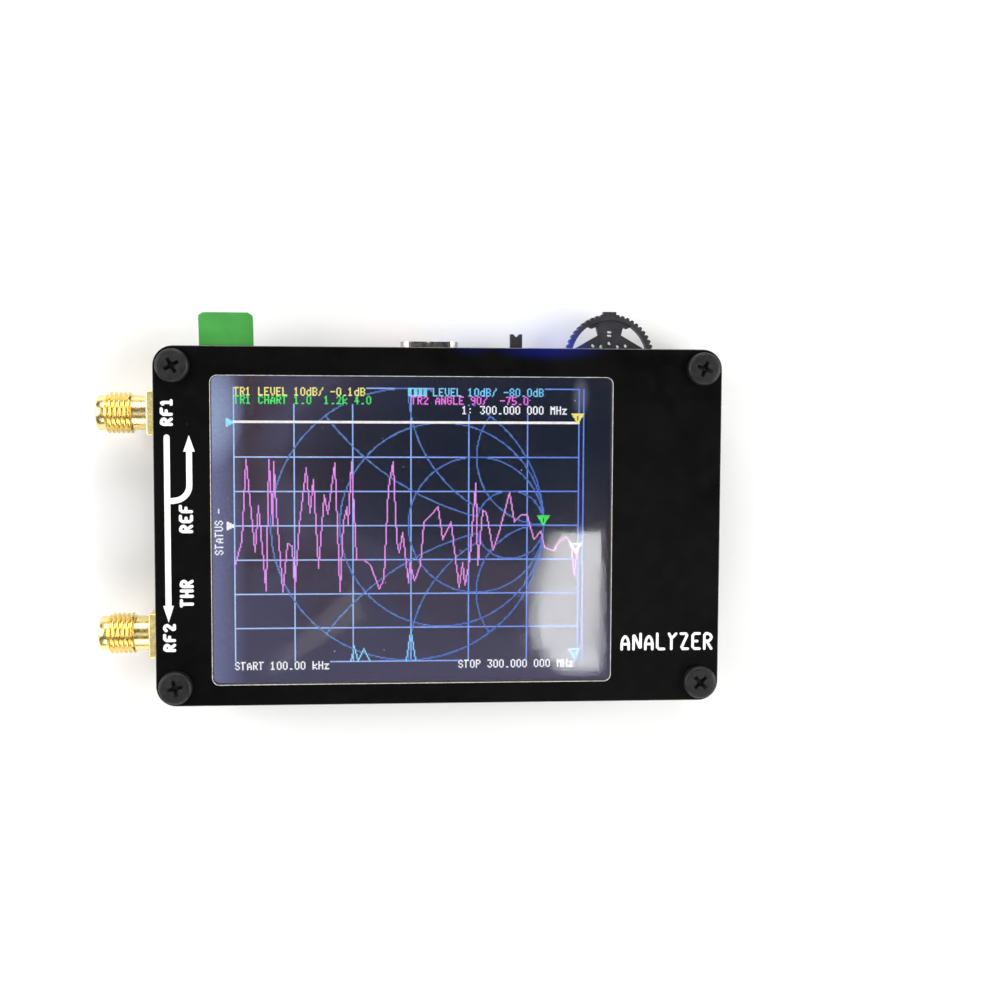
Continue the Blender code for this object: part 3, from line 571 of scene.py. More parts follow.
def rounded_rectangle(length, width, radius, centre=(0, 0), steps=8):
    x, y = length / 2 - radius, width / 2 - radius
    points = []
    for quarter, (cx, cy) in enumerate([(x, y), (-x, y), (-x, -y), (x, -y)]):
        corner = (centre[0] + cx, centre[1] + cy)
        points += arc(corner, radius, 90 * quarter, 90 * quarter + 90, steps)
    return points


def circle(radius, centre=(0, 0), steps=32):
    return arc(centre, radius, 0, 360 - 360 / steps, steps - 1)


def curve_to_mesh(curve, name):
    carrier = bpy.data.objects.new("carrier", curve)
    scene.collection.objects.link(carrier)
    bpy.context.view_layer.update()
    evaluated = carrier.evaluated_get(bpy.context.evaluated_depsgraph_get())
    mesh = bpy.data.meshes.new_from_object(evaluated)
    mesh.name = name
    bm = bmesh.new()
    bm.from_mesh(mesh)
    bmesh.ops.remove_doubles(bm, verts=bm.verts, dist=1e-6)
    bmesh.ops.recalc_face_normals(bm, faces=bm.faces)
    bm.to_mesh(mesh)
    bm.free()
    bpy.data.objects.remove(carrier, do_unlink=True)
    return mesh


def slab_mesh(name, outlines, low, high, chamfer=0.0):
    """A flat piece between two heights, given as outlines in panel coordinates and chamfered."""
    curve = bpy.data.curves.new(name, "CURVE")
    curve.dimensions = "2D"
    curve.fill_mode = "BOTH"
    curve.extrude = ((high - low) / 2 - chamfer) * MM
    curve.bevel_depth = chamfer * MM
    curve.bevel_resolution = 0
    curve.offset = -chamfer * MM
    for outline in outlines:
        spline = curve.splines.new("POLY")
        spline.points.add(len(outline) - 1)
        for point, (x, y) in zip(spline.points, outline):
            point.co = (x * MM, y * MM, 0, 1)
        spline.use_cyclic_u = True
    mesh = curve_to_mesh(curve, name)
    mesh.transform(Matrix.Translation(place(0, 0, (low + high) / 2)))
    return mesh


def lathe_mesh(name, profile, segments, matrix):
    """A closed solid turned round Z from (radius, height) points that run down its outer side."""
    bm = bmesh.new()
    rings = []
    for radius, height in profile:
        if radius == 0:
            rings.append([bm.verts.new((0, 0, height * MM))])
            continue
        ring = [bm.verts.new((x * MM, y * MM, height * MM)) for x, y in circle(radius, (0, 0), segments)]
        rings.append(ring)
    for upper, lower in zip(rings, rings[1:]):
        for i in range(segments):
            j = (i + 1) % segments
            if len(upper) == 1:
                bm.faces.new((upper[0], lower[i], lower[j]))
            elif len(lower) == 1:
                bm.faces.new((upper[i], lower[0], upper[j]))
            else:
                bm.faces.new((upper[i], lower[i], lower[j], upper[j]))
    bmesh.ops.transform(bm, matrix=matrix, verts=bm.verts)
    return to_mesh(bm, name)


def cut_by(mesh, cutter_mesh, name):
    """The first mesh with the second taken out of it."""
    target = bpy.data.objects.new("target", mesh)
    cutter = bpy.data.objects.new("cutter", cutter_mesh)
    for obj in (target, cutter):
        scene.collection.objects.link(obj)
    modifier = target.modifiers.new("cut", "BOOLEAN")
    modifier.object = cutter
    bpy.context.view_layer.update()
    evaluated = target.evaluated_get(bpy.context.evaluated_depsgraph_get())
    result = bpy.data.meshes.new_from_object(evaluated)
    result.name = name
    for obj in (target, cutter):
        bpy.data.objects.remove(obj, do_unlink=True)
    return result


# ---- boards

HOLES = [(sx * (PANEL_SIZE[0] / 2 - HOLE_INSET), sy * (PANEL_SIZE[1] / 2 - HOLE_INSET))
         for sx, sy in ((-1, 1), (1, 1), (-1, -1), (1, -1))]
WINDOW_SIZE = (60.3, 46.4)
WINDOW_CENTRE = (-4.2, -0.6)


def make_board(node, openings=()):
    """A board with a chamfer of bare laminate along every milled edge."""
    outlines = [rounded_rectangle(*PANEL_SIZE, CORNER_RADIUS, steps=14)]
    outlines += [circle(HOLE_RADIUS, hole, 28) for hole in HOLES]
    outlines += openings
    mesh = slab_mesh(node + "_board", outlines, level(node, 0), level(node, 1), CHAMFER)
    layers = [MASK, LAMINATE, DARK_RIM_LAMINATE, CORE]
    piece(node + "_board", mesh, layers, replaces=[node])
    for face in mesh.polygons:
        face.material_index = board_material(face)


def board_material(face):
    """A board's material by face: 0 mask, 1 chamfer of an opening, 2 darker outer chamfer, 3 wall."""
    upright = abs(face.normal.z)
    if upright > 0.9:
        return 0
    if upright < 0.2:
        return 3
    x, y, _ = face.center - PANEL
    outer = abs(x) > (PANEL_SIZE[0] / 2 - RIM) * MM or abs(y) > (PANEL_SIZE[1] / 2 - RIM) * MM
    return 2 if outer else 1


def make_ring_pads():
    """Gold rings round the screw holes, on both faces of the main board and the back panel."""
    bm = bmesh.new()
    for node in ("main_board", "back_panel"):
        for which, side in ((0, -1), (1, 1)):
            z = level(node, which)
            for hole in HOLES:
                outer, inner = (circle(radius, hole) for radius in PAD_RADII)
                for i in range(len(outer)):
                    j = (i + 1) % len(outer)
                    quad = (outer[i], outer[j], inner[j], inner[i])
                    add_prism(bm, quad, z + side * 0.002, z + side * 0.015)
    piece("screw_hole_pads", bm, [PAD])


def make_boards():
    window = rounded_rectangle(*WINDOW_SIZE, WINDOW_CORNER, WINDOW_CENTRE, steps=8)
    make_board("front_panel", [window])
    make_board("main_board")
    make_board("back_panel")
    make_ring_pads()


# ---- lettering

# Strokes of each character: points are column 0-3 and row 0-6, and strokes are split by spaces.
GLYPHS = {
    "A": "00-03-15-25-33-30 02-32", "B": "00-06-26-35-34-23-03 23-32-31-20-00",
    "C": "35-26-16-05-01-10-20-31", "D": "00-06-16-34-32-10-00", "E": "36-06-00-30 03-23",
    "F": "36-06-00 03-23", "G": "35-26-16-05-01-10-20-31-33-23", "H": "00-06 30-36 03-33",
    "I": "06-26 16-10 00-20", "K": "00-06 36-03-30", "L": "06-00-30", "M": "00-06 30-36 15-25 14-24",
    "N": "00-06-30-36", "O": "05-16-26-35-31-20-10-01-05", "P": "00-06-26-35-34-23-03",
    "R": "00-06-26-35-34-23-03 13-30", "S": "35-26-16-05-04-13-23-32-31-20-10-01",
    "T": "06-36 16-10", "U": "06-01-10-20-31-36", "V": "06-02-10-20-32-36", "W": "06-00-12-22-30-36",
    "X": "06-30 36-00", "Y": "06-14-36 14-10", "Z": "06-36-00-30", "d": "36-30-10-01-03-14-34",
    "z": "04-34-00-30", "k": "00-06 34-02-30", "0": "05-16-26-35-31-20-10-01-05", "1": "05-16-10 00-20",
    "2": "05-16-26-35-34-00-30", "3": "06-36-23-32-31-20-10-01", "4": "20-26-02-32",
    "5": "36-06-03-23-32-31-20-00", "6": "26-05-01-10-20-31-32-23-03", "7": "06-36-10",
    "8": "13-04-05-16-26-35-34-23-13-02-01-10-20-31-32-23", "9": "33-13-04-05-16-26-35-31-10",
    "-": "03-33", ".": "10-20", "/": "00-36", ":": "11-11 14-14", "%": "00-36 06-06 30-30", " ": "",
}


def glyph_strokes(character):
    return [[(int(p[0]), int(p[1])) for p in stroke.split("-")] for stroke in GLYPHS[character].split()]


def add_stroke(bm, points, width, low=0.0, high=INK_HEIGHT):
    """A line of ink with round ends and joints: a capsule a stretch, no two tops at one height."""
    for (ax, ay), (bx, by) in zip(points, points[1:]):
        heading = math.degrees(math.atan2(by - ay, bx - ax))
        outline = arc((ax, ay), width / 2, heading + 90, heading + 270, 8)
        outline += arc((bx, by), width / 2, heading - 90, heading + 90, 8)
        add_prism(bm, outline, low, high + len(bm.verts) * STROKE_STEP)


def add_words(bm, words, start, size, stroke, pitch, upright=True):
    """Letters of the given height and width from a lower left corner, level or turned a quarter."""
    height, width = size
    for number, character in enumerate(words):
        for points in glyph_strokes(character):
            placed = []
            for column, row in points:
                along = number * pitch + column * width / 3
                up = row * height / 6
                if upright:
                    placed.append((start[0] + along, start[1] + up))
                else:
                    placed.append((start[0] - up, start[1] + along))
            if len(placed) == 1:
                placed = placed * 2
            add_stroke(bm, rounded_corners(placed), stroke)


def rounded_corners(points, cut=0.3):
    """Cuts the corners of a stroke by up to that distance, which makes its bends rounder."""
    closed = points[0] == points[-1] and len(points) > 2
    if len(points) < 3:
        return points
    out = [] if closed else [points[0]]
    for a, b in zip(points, points[1:]):
        a, b = Vector(a), Vector(b)
        share = min(0.3, cut / max((b - a).length, cut))
        out += [tuple(a.lerp(b, share)), tuple(a.lerp(b, 1 - share))]
    out.append(out[0] if closed else points[-1])
    return out


def make_front_lettering():
    """The signal paths as two arrows, their labels, and the generic name at the lower right."""
    bm = bmesh.new()
    line_x, branch_x = -40.75, -37.5
    add_stroke(bm, [(line_x, 13.4), (line_x, -11.9)], LINE_WIDTH)
    add_prism(bm, [(line_x - 0.78, -11.75), (line_x, -14.25), (line_x + 0.78, -11.75)], 0, HEAD_INK)
    branch = [(line_x, 3.95), (line_x + 0.9, 3.95), *arc((branch_x - 2.3, 6.3), 2.3, -90, 0, 8),
              (branch_x, 11.4)]
    add_stroke(bm, branch, LINE_WIDTH)
    add_prism(bm, [(branch_x - 0.85, 11.3), (branch_x + 0.85, 11.3), (branch_x, 13.75)], 0, HEAD_INK)
    half = LABEL_STROKE / 2
    for words, x, y, size, pitch in (
        ("RF1", -39.8, 15.1, (1.45, 0.78), 1.49), ("RF2", -39.7, -18.7, (1.45, 0.78), 1.49),
        ("REF", -37.0, -0.85, (1.62, 0.8), 1.49), ("THR", -37.0, -12.0, (1.62, 0.8), 1.45),
    ):
        add_words(bm, words, (x - half, y + half), size, LABEL_STROKE, pitch, False)
    add_words(bm, "ANALYZER", (27.7, -18.95), (2.35, 1.08), NAME_STROKE, 1.84)
    piece("front_lettering", bm, [INK])


def make_back_lettering():
    """Generic legends in a frame on the back panel, to be read from below."""
    sheet = bmesh.new()
    for words, start, size, stroke, pitch in (
        ("VECTOR NETWORK ANALYZER", (-31.5, 3.2), (3.2, 1.6), 0.5, 2.75),
        ("RF1 REFLECT", (-15.2, -3.4), (2.0, 1.0), 0.34, 1.8),
        ("RF2 THRU", (-15.2, -7.2), (2.0, 1.0), 0.34, 1.8),
        ("INPUT 5 V", (-15.2, -11.0), (2.0, 1.0), 0.34, 1.8),
    ):
        add_words(sheet, words, start, size, stroke, pitch)
    frame_line = rounded_rectangle(72, 26, 2.0, (0, -1.0), 6)
    add_stroke(sheet, [*frame_line, frame_line[0]], 0.3)
    mesh = to_mesh(sheet, "back_lettering")
    under = Matrix.Translation(place(0, 0, level("back_panel", 0)))
    mesh.transform(under @ Matrix.Rotation(math.pi, 4, "Y") @ Matrix.Translation(-PANEL))
    piece("back_lettering", mesh, [INK])


# ---- picture on the display

GRID, TRACE, LOG, YELLOW, GREEN, CYAN, MAGENTA, WHITE, PALE, CHART = range(1, 11)


class Picture:
    """A small frame buffer: what the instrument draws, one colour number a pixel."""

    def __init__(self):
        self.pixels = {}

    def dot(self, x, y, colour):
        if 0 <= x < PIXELS[0] and 0 <= y < PIXELS[1]:
            self.pixels[(x, y)] = colour

    def line(self, x0, y0, x1, y1, colour):
        x0, y0, x1, y1 = round(x0), round(y0), round(x1), round(y1)
        steps = max(abs(x1 - x0), abs(y1 - y0), 1)
        for i in range(steps + 1):
            self.dot(round(x0 + (x1 - x0) * i / steps), round(y0 + (y1 - y0) * i / steps), colour)

    def block(self, x0, y0, x1, y1, colour):
        for x in range(x0, x1 + 1):
            for y in range(y0, y1 + 1):
                self.dot(x, y, colour)

    def wipe(self, x0, y0, x1, y1):
        for x in range(x0, x1 + 1):
            for y in range(y0, y1 + 1):
                self.pixels.pop((x, y), None)

    def text(self, words, x, y, colour):
        """Words whose upper left corner is at that pixel, on cells that are wiped first."""
        for number, character in enumerate(words):
            left = x + number * CELL
            self.wipe(left, y, left + CELL - 1, y + 6)
            for stroke in glyph_strokes(character):
                for (ax, ay), (bx, by) in zip(stroke, stroke[1:] or stroke):
                    self.line(left + ax, y + 6 - ay, left + bx, y + 6 - by, colour)

    def circle(self, x, y, radius, colour, inside=None):
        """A circle, or the part of it whose points pass a test."""
        steps = int(radius * 8)
        for i in range(steps):
            angle = 2 * math.pi * i / steps
            px, py = x + radius * math.cos(angle), y + radius * math.sin(angle)
            if inside is None or inside(px, py):
                self.dot(round(px), round(py), colour)

    def marker(self, x, y, colour, filled=True):
        """A triangle that stands on its tip at that pixel, with a figure in it."""
        for row in range(9):
            half = round(row * 0.62)
            for dx in range(-half, half + 1):
                if filled or row == 8 or abs(dx) >= half - 1:
                    self.dot(x + dx, y - row, colour)
        for row in (3, 4, 5, 6):
            self.pixels.pop((x, y - row), None)

    def pointer(self, x, y, colour):
        """A small triangle that points right to that pixel."""
        for step in range(6):
            for dy in range(-(step // 2) - 1, step // 2 + 2):
                self.dot(x - step, y + dy, colour)


def draw_grid(picture):
    left, right = COLUMN_LINES[0], COLUMN_LINES[-2]
    bottom = TOP_ROW + ROWS * ROW_PITCH
    for x in COLUMN_LINES:
        picture.line(x, TOP_ROW, x, bottom, GRID)
    for row in range(ROWS + 1):
        y = TOP_ROW + row * ROW_PITCH
        picture.line(left, y, right, y, GRID)


def draw_chart(picture):
    """A Smith chart: circles of constant resistance and arcs of constant reactance."""
    cx, cy = CHART_CENTRE
    tip, small = cx + CHART_RADIUS, CHART_RADIUS / 4
    for resistance in (0, 1 / 3, 1, 3):
        radius = CHART_RADIUS / (1 + resistance)
        picture.circle(tip - radius, cy, radius, CHART)

    def in_chart(x, y):
        return math.hypot(x - cx, y - cy) <= CHART_RADIUS

    def in_chart_only(x, y):
        return in_chart(x, y) and math.hypot(x - tip + small, y - cy) >= small

    for reactance, inside in ((0.5, in_chart_only), (1, in_chart_only), (2, in_chart)):
        radius = CHART_RADIUS / reactance
        for side in (-1, 1):
            picture.circle(tip, cy + side * radius, radius, CHART, inside)


# Phase of a signal near the noise floor: percent of the sweep and degrees
PHASE = [
    (0, -104), (2, -40), (3.6, 173), (5.3, 0), (5.9, -67), (6.8, 54), (8.9, -170), (9.9, 173), (11, 0),
    (11.5, 168), (12.1, 40), (13.8, -173), (15.1, -47), (16.6, -54), (17.3, -168), (18.4, 0), (20.6, 153),
    (21.7, 35), (22.6, 121), (23.9, -111), (25.8, 81), (26.9, 30), (28.9, 163), (30.1, -173), (31.1, 10),
    (32.2, 49), (32.8, 3), (33.7, 168), (35.1, -89), (37.1, -89), (39.1, -104), (41.7, -168), (43.1, -143),
    (44.2, 99), (45.8, 168), (46.7, -40), (47.5, -71), (48.5, -20), (50.1, -153), (50.5, -99), (51.9, -146),
    (53.6, -104), (54.7, 10), (56.9, 32), (58.8, 51), (60.2, -37), (62.7, 10), (64, -89), (64.9, -163),
    (65.9, -99), (66.7, -158), (68.2, -89), (69.8, 111), (70.5, -104), (71.7, 40), (72.8, 35), (74.8, -64),
    (76.6, -20), (79.8, 87), (81, 10), (83, 28), (84.9, 28), (87, -37), (88.9, -15), (90, -59), (92.9, -69),
    (94.2, -45), (96.4, -32), (98, -49), (98.9, -134), (100, -49),
]


def draw_traces(picture):
    left, right = COLUMN_LINES[0], COLUMN_LINES[-2]
    zero = TOP_ROW + 4 * ROW_PITCH
    step = (right - left) / 100
    for (start, a), (end, b) in zip(PHASE, PHASE[1:]):
        y0, y1 = zero - a / 90 * ROW_PITCH, zero - b / 90 * ROW_PITCH
        picture.line(left + start * step, y0, left + end * step, y1, TRACE)
    y = TOP_ROW + ROW_PITCH
    picture.line(left, y, right, y, LOG)
    picture.line(left, y - 1, right, y - 1, LOG)
    bottom = TOP_ROW + ROWS * ROW_PITCH
    for x, height, half in ((120, 13, 3), (128, 11, 5), (168, 26, 4)):
        picture.line(x - half, bottom, x, bottom - height, CYAN)
        picture.line(x, bottom - height, x + half, bottom, CYAN)


def draw_text(picture):
    bottom = TOP_ROW + ROWS * ROW_PITCH
    picture.text("TR1 LEVEL 10dB/ -0.1dB", 21, 1, YELLOW)
    picture.text("TR1 CHART 1.0  1.2k 4.0", 21, 8, GREEN)
    picture.block(166, 1, 181, 7, CYAN)
    for x in (169, 170, 174, 178):
        picture.line(x, 2, x, 6, 0)
    picture.text("LEVEL 10dB/ -80.0dB", 187, 1, CYAN)
    picture.text("TR2 ANGLE 90/  -75.0", 169, 8, MAGENTA)
    picture.text("1: 300.000 000 MHz", 212, 16, WHITE)
    picture.text("START 100.00 kHz", 20, bottom, WHITE)
    picture.text("STOP 300.000 000 MHz", 209, bottom, WHITE)
    for number, character in enumerate("STATUS -"):
        base = 141 - number * CELL
        for stroke in glyph_strokes(character):
            for (ax, ay), (bx, by) in zip(stroke, stroke[1:] or stroke):
                picture.line(10 - ay, base - ax, 10 - by, base - bx, WHITE)


def draw_markers(picture):
    zero = TOP_ROW + 4 * ROW_PITCH
    bottom = TOP_ROW + ROWS * ROW_PITCH
    picture.marker(COLUMN_LINES[-2] - 1, TOP_ROW + ROW_PITCH, YELLOW)
    picture.marker(round(CHART_CENTRE[0] + CHART_RADIUS), zero, GREEN)
    picture.marker(COLUMN_LINES[-2] - 2, zero + 24, PALE, False)
    picture.marker(COLUMN_LINES[-2] - 3, bottom - 1, CYAN, False)
    picture.pointer(COLUMN_LINES[0] - 1, TOP_ROW + ROW_PITCH, CYAN)
    picture.pointer(COLUMN_LINES[0] - 1, zero, WHITE)


def lit_runs(pixels):
    """Merges lit pixels of one colour into upright or level runs, whichever is longer."""
    left = dict(pixels)
    for (x, y), colour in sorted(pixels.items()):
        if (x, y) not in left:
            continue
        runs = []
        for dx, dy in ((1, 0), (0, 1)):
            length = 1
            while left.get((x + dx * length, y + dy * length)) == colour:
                length += 1
            runs.append((length, dx, dy))
        length, dx, dy = max(runs)
        for i in range(length):
            del left[(x + dx * i, y + dy * i)]
        if colour:
            yield x, y, x + dx * (length - 1), y + dy * (length - 1), colour


def make_picture(top):
    """The lit area and, just over it, every lit run of pixels as a thin bar of light."""
    picture = Picture()
    for draw in (draw_grid, draw_chart, draw_traces, draw_text, draw_markers):
        draw(picture)
    centre = (WINDOW_CENTRE[0] + PICTURE_OFFSET[0], WINDOW_CENTRE[1] + PICTURE_OFFSET[1])
    left = centre[0] - PIXELS[0] / 2 * PIXEL
    upper = centre[1] + PIXELS[1] / 2 * PIXEL
    bm = bmesh.new()
    half = [size / 2 + 0.9 for size in WINDOW_SIZE]
    add_box(bm, (WINDOW_CENTRE[0] - half[0], WINDOW_CENTRE[1] - half[1], top + 0.02),
            (WINDOW_CENTRE[0] + half[0], WINDOW_CENTRE[1] + half[1], top + 0.06))
    piece("lit_area", bm, [lcd_ground()])

    bm = bmesh.new()
    for x0, y0, x1, y1, colour in lit_runs(picture.pixels):
        spread = 0.06 * PIXEL
        low = (left + x0 * PIXEL - spread, upper - (y1 + 1) * PIXEL - spread)
        high = (left + (x1 + 1) * PIXEL + spread, upper - y0 * PIXEL + spread)
        rise = 0.07 + 0.002 * colour
        add_box(bm, (*low, top + rise), (*high, top + rise + 0.02), colour - 1)
    lights = [
        lit("grid_light", (0.46, 0.66, 1.0), (0.13, 0.25, 0.88)),
        lit("phase_light", (0.86, 0.3, 0.9), (0.84, 0.3, 0.74)),
        lit("level_light", (1.0, 0.96, 0.92), (1.0, 0.93, 0.9)),
        lit("yellow_light", (1.0, 0.9, 0.28), (0.95, 0.82, 0.2)),
        lit("green_light", (0.08, 0.95, 0.16), (0.05, 0.75, 0.1)),
        lit("cyan_light", (0.35, 0.85, 1.0), (0.14, 0.55, 0.9)),
        lit("magenta_light", (0.95, 0.2, 0.85), (0.9, 0.16, 0.78)),
        lit("white_light", (1.0, 1.0, 1.0), (0.96, 0.97, 1.0)),
        lit("pale_light", (1.0, 0.85, 0.95), (1.0, 0.82, 0.92)),
        lit("chart_light", (0.13, 0.27, 0.58), (0.055, 0.14, 0.55)),
    ]
    piece("drawn_picture", bm, lights)


# ---- display


def make_display():
    """The display's layers: frame, glass with its picture, touch panel, film and green tab."""
    soften(finish_node("backlight_frame", WHITE_PLASTIC), 0.1)
    finish_node("display_foam_tape", FOAM)
    finish_node("display_glass", display_black())
    top = level("display_glass", 1)
    make_picture(top)

    (x0, y0, _), (x1, y1, upper) = corners("touch_panel")
    outline = rounded_rectangle(x1 - x0, y1 - y0, 0.6, middle("touch_panel")[:2], 4)
    mesh = slab_mesh("touch_glass", [outline], top + 0.2, upper, 0.08)
    piece("touch_glass", mesh, [clear("touch_glass", 0.015, 0.0, IOR=1.04)],
          replaces=["touch_panel"])
    finish_node("screen_film", clear("screen_film", 0.045, 0.35, IOR=1.38))
    for node in ("display_ribbon", "touch_ribbon"):
        finish_node(node, POLYIMIDE)
        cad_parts[node].data.shade_smooth()
    make_pull_tab()
    make_tab_adhesive()
    make_dust()


def make_pull_tab():
    """The film's tab: a limp sheet that lifts a little towards its free end."""
    (x0, y0, base), (x1, y1, _) = corners("film_pull_tab")
    thickness, radius = 0.08, 0.75
    columns, rows = 20, 24
    bm = bmesh.new()
    grid = []
    for j in range(rows + 1):
        v = j / rows
        y = y0 + (y1 - y0) * v
        inset = radius - math.sqrt(max(0.0, radius**2 - max(0.0, y - (y1 - radius)) ** 2))
        line = []
        for i in range(columns + 1):
            u = i / columns
            x = (x0 + inset) + (x1 - x0 - 2 * inset) * u
            free = max(0.0, (y - PANEL_SIZE[1] / 2) / (y1 - PANEL_SIZE[1] / 2))
            lift = free**2 * (0.75 + 0.3 * math.sin(2.4 * u + 0.4))
            line.append((x, y, base + lift))
        grid.append(line)
    layers = []
    for raise_by in (0.0, thickness):
        layers.append([[bm.verts.new(place(x, y, z + raise_by)) for x, y, z in line] for line in grid])
    for layer in layers:
        for a, b in zip(layer, layer[1:]):
            for i in range(columns):
                bm.faces.new((a[i], a[i + 1], b[i + 1], b[i]))
    rims = []
    for layer in layers:
        rims.append([*layer[0], *[line[-1] for line in layer[1:]], *layer[-1][-2::-1],
                     *[line[0] for line in layer[-2:0:-1]]])
    for i in range(len(rims[0])):
        j = (i + 1) % len(rims[0])
        bm.faces.new((rims[0][i], rims[0][j], rims[1][j], rims[1][i]))
    piece("green_pull_tab", bm, [green_film()],
          replaces=["film_pull_tab"], smooth=40)


def make_tab_adhesive():
    """The tab's clear glued end, which lies on the film inside the window."""
    (x0, y1, _), (x1, _, _) = corners("film_pull_tab")
    x0 = max(x0, WINDOW_CENTRE[0] - WINDOW_SIZE[0] / 2 + 0.15)
    x1, y0, corner = x1 - 0.2, 14.6, 0.9
    rounded = arc((x1 - corner, y0 + corner), corner, -90, 0, 6)
    outline = [(x0, y1), (x0, y0), *rounded, (x1, y1)]
    z = level("screen_film", 1) + 0.01
    mesh = slab_mesh("tab_adhesive", [outline], z, z + 0.05)
    piece("tab_adhesive", mesh, [clear("adhesive_film", 0.12, 0.3, IOR=1.2)])


def make_dust():
    """Flakes of dust and one hair on the film."""
    random.seed(23)
    z = level("screen_film", 1)
    bm = bmesh.new()
    for _ in range(34):
        x = WINDOW_CENTRE[0] + random.uniform(-29, 29)
        y = WINDOW_CENTRE[1] + random.uniform(-22, 22)
        radius = random.uniform(0.03, 0.085)
        corners = [(x + radius * random.uniform(0.6, 1.2) * math.cos(a), y + radius * math.sin(a))
                   for a in (0.2, 1.5, 2.7, 4.1, 5.3)]
        add_prism(bm, corners, z + 0.002, z + 0.02)
    piece("glass_dust", bm, [INK])
    bm = bmesh.new()
    hair = arc((19.6, -9.8), 1.3, 20, 75, 8)
    add_stroke(bm, hair, 0.07, z + 0.004, z + 0.05)
    piece("glass_hair", bm, [CHIP])


# ---- screws and standoffs

HEAD_RADIUS = 2.5
HEAD_HEIGHT = 1.5
SHANK_RADIUS = 1.2
SCREW_PITCH = 0.45
THREAD_DEPTH = 0.2


def cross_outline(span, wing, fillet):
    """A cross with half-span and half-wing widths, and slanted inner corners."""
    quarter = [(span, -wing), (span, wing), (wing + fillet, wing)]
    points = []
    for turn in range(4):
        turned = Matrix.Rotation(math.pi / 2 * turn, 2)
        points += [turned @ Vector(point) for point in quarter]
        points.append(turned @ Vector((wing, wing + fillet)))
    return points


def recess_mesh():
    """A cross recess whose wings lean inwards with depth."""
    bm = bmesh.new()
    loops = []
    for z, outline in ((HEAD_HEIGHT + 0.2, cross_outline(1.36, 0.3, 0.3)),
                       (HEAD_HEIGHT - 0.5, cross_outline(0.95, 0.22, 0.16)),
                       (HEAD_HEIGHT - 1.05, cross_outline(0.5, 0.14, 0.08))):
        loops.append([bm.verts.new((x * MM, y * MM, z * MM)) for x, y in outline])
    bm.faces.new(loops[0])
    bm.faces.new(loops[-1])
    for upper, lower in zip(loops, loops[1:]):
        for a in range(len(upper)):
            b = (a + 1) % len(upper)
            bm.faces.new((upper[a], upper[b], lower[b], lower[a]))
    return to_mesh(bm, "recess")


def make_screw(node, upwards, turn):
    """A pan-head screw with a crowned rim, a cross recess and rolled thread rings."""
    low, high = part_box(node)
    length = (high.z - low.z) / MM - HEAD_HEIGHT
    rim = arc((HEAD_RADIUS - 0.5, HEAD_HEIGHT - 0.5), 0.5, 70, 0, 7)
    profile = [(0, HEAD_HEIGHT), (1.95, HEAD_HEIGHT), *rim, (HEAD_RADIUS, 0.1)]
    profile += [(HEAD_RADIUS - 0.08, 0.02), (SHANK_RADIUS, 0.02)]
    z, root = -0.25, SHANK_RADIUS - THREAD_DEPTH
    while z - SCREW_PITCH > -length + 0.2:
        profile += [(SHANK_RADIUS, z), (root, z - SCREW_PITCH * 0.45)]
        profile.append((SHANK_RADIUS, z - SCREW_PITCH * 0.9))
        z -= SCREW_PITCH
    profile += [(SHANK_RADIUS - 0.3, -length), (0, -length)]
    mesh = lathe_mesh(node, profile, 56, Matrix.Identity(4))
    mesh = cut_by(mesh, recess_mesh(), node)
    centre = (low + high) / 2
    seat = high.z - HEAD_HEIGHT * MM if upwards else low.z + HEAD_HEIGHT * MM
    flip = Matrix.Identity(4) if upwards else Matrix.Rotation(math.pi, 4, "X")
    turned = Matrix.Rotation(math.radians(turn), 4, "Z")
    mesh.transform(Matrix.Translation((centre.x, centre.y, seat)) @ flip @ turned)
    piece(node.replace("screw", "machine_screw"), mesh, [OXIDE],
          replaces=[node], smooth=28)


def make_fasteners():
    turns = {"rear_left": 30.0, "rear_right": -19.0, "near_left": 12.0, "near_right": 44.0}
    for where, turn in turns.items():
        make_screw("front_screw_" + where, True, turn)
        make_screw("back_screw_" + where, False, -turn)
        for layer in ("upper", "lower"):
            soften(finish_node(f"{layer}_standoff_{where}", BRASS), 0.14, 2, 40)


# ---- coaxial jacks

PITCH = 0.7056
TURNS = 6
NECK = 2.15
MAJOR = 3.17
MINOR = 2.72
PLAIN = 2.65  # radius of the neck and the nose
BORE = 2.08
FLANGE_BORE = 2.1
FLANGE_DEPTH = 1.8
LEG_SPREAD = 2.7
LEG_REACH = 5.75
RUN_OUT = 0.3  # length over which the thread fades at each end
BARREL_SIDES = 60
THREAD_STEPS = 10


def thread_radius(share):
    """Radius of a 60 degree thread with flat crests, by how far across one pitch it is."""
    rise = min(share, 1.0 - share) / 0.5
    return MINOR + (MAJOR - MINOR) * min(1.0, max(0.0, rise * 1.35 - 0.12))


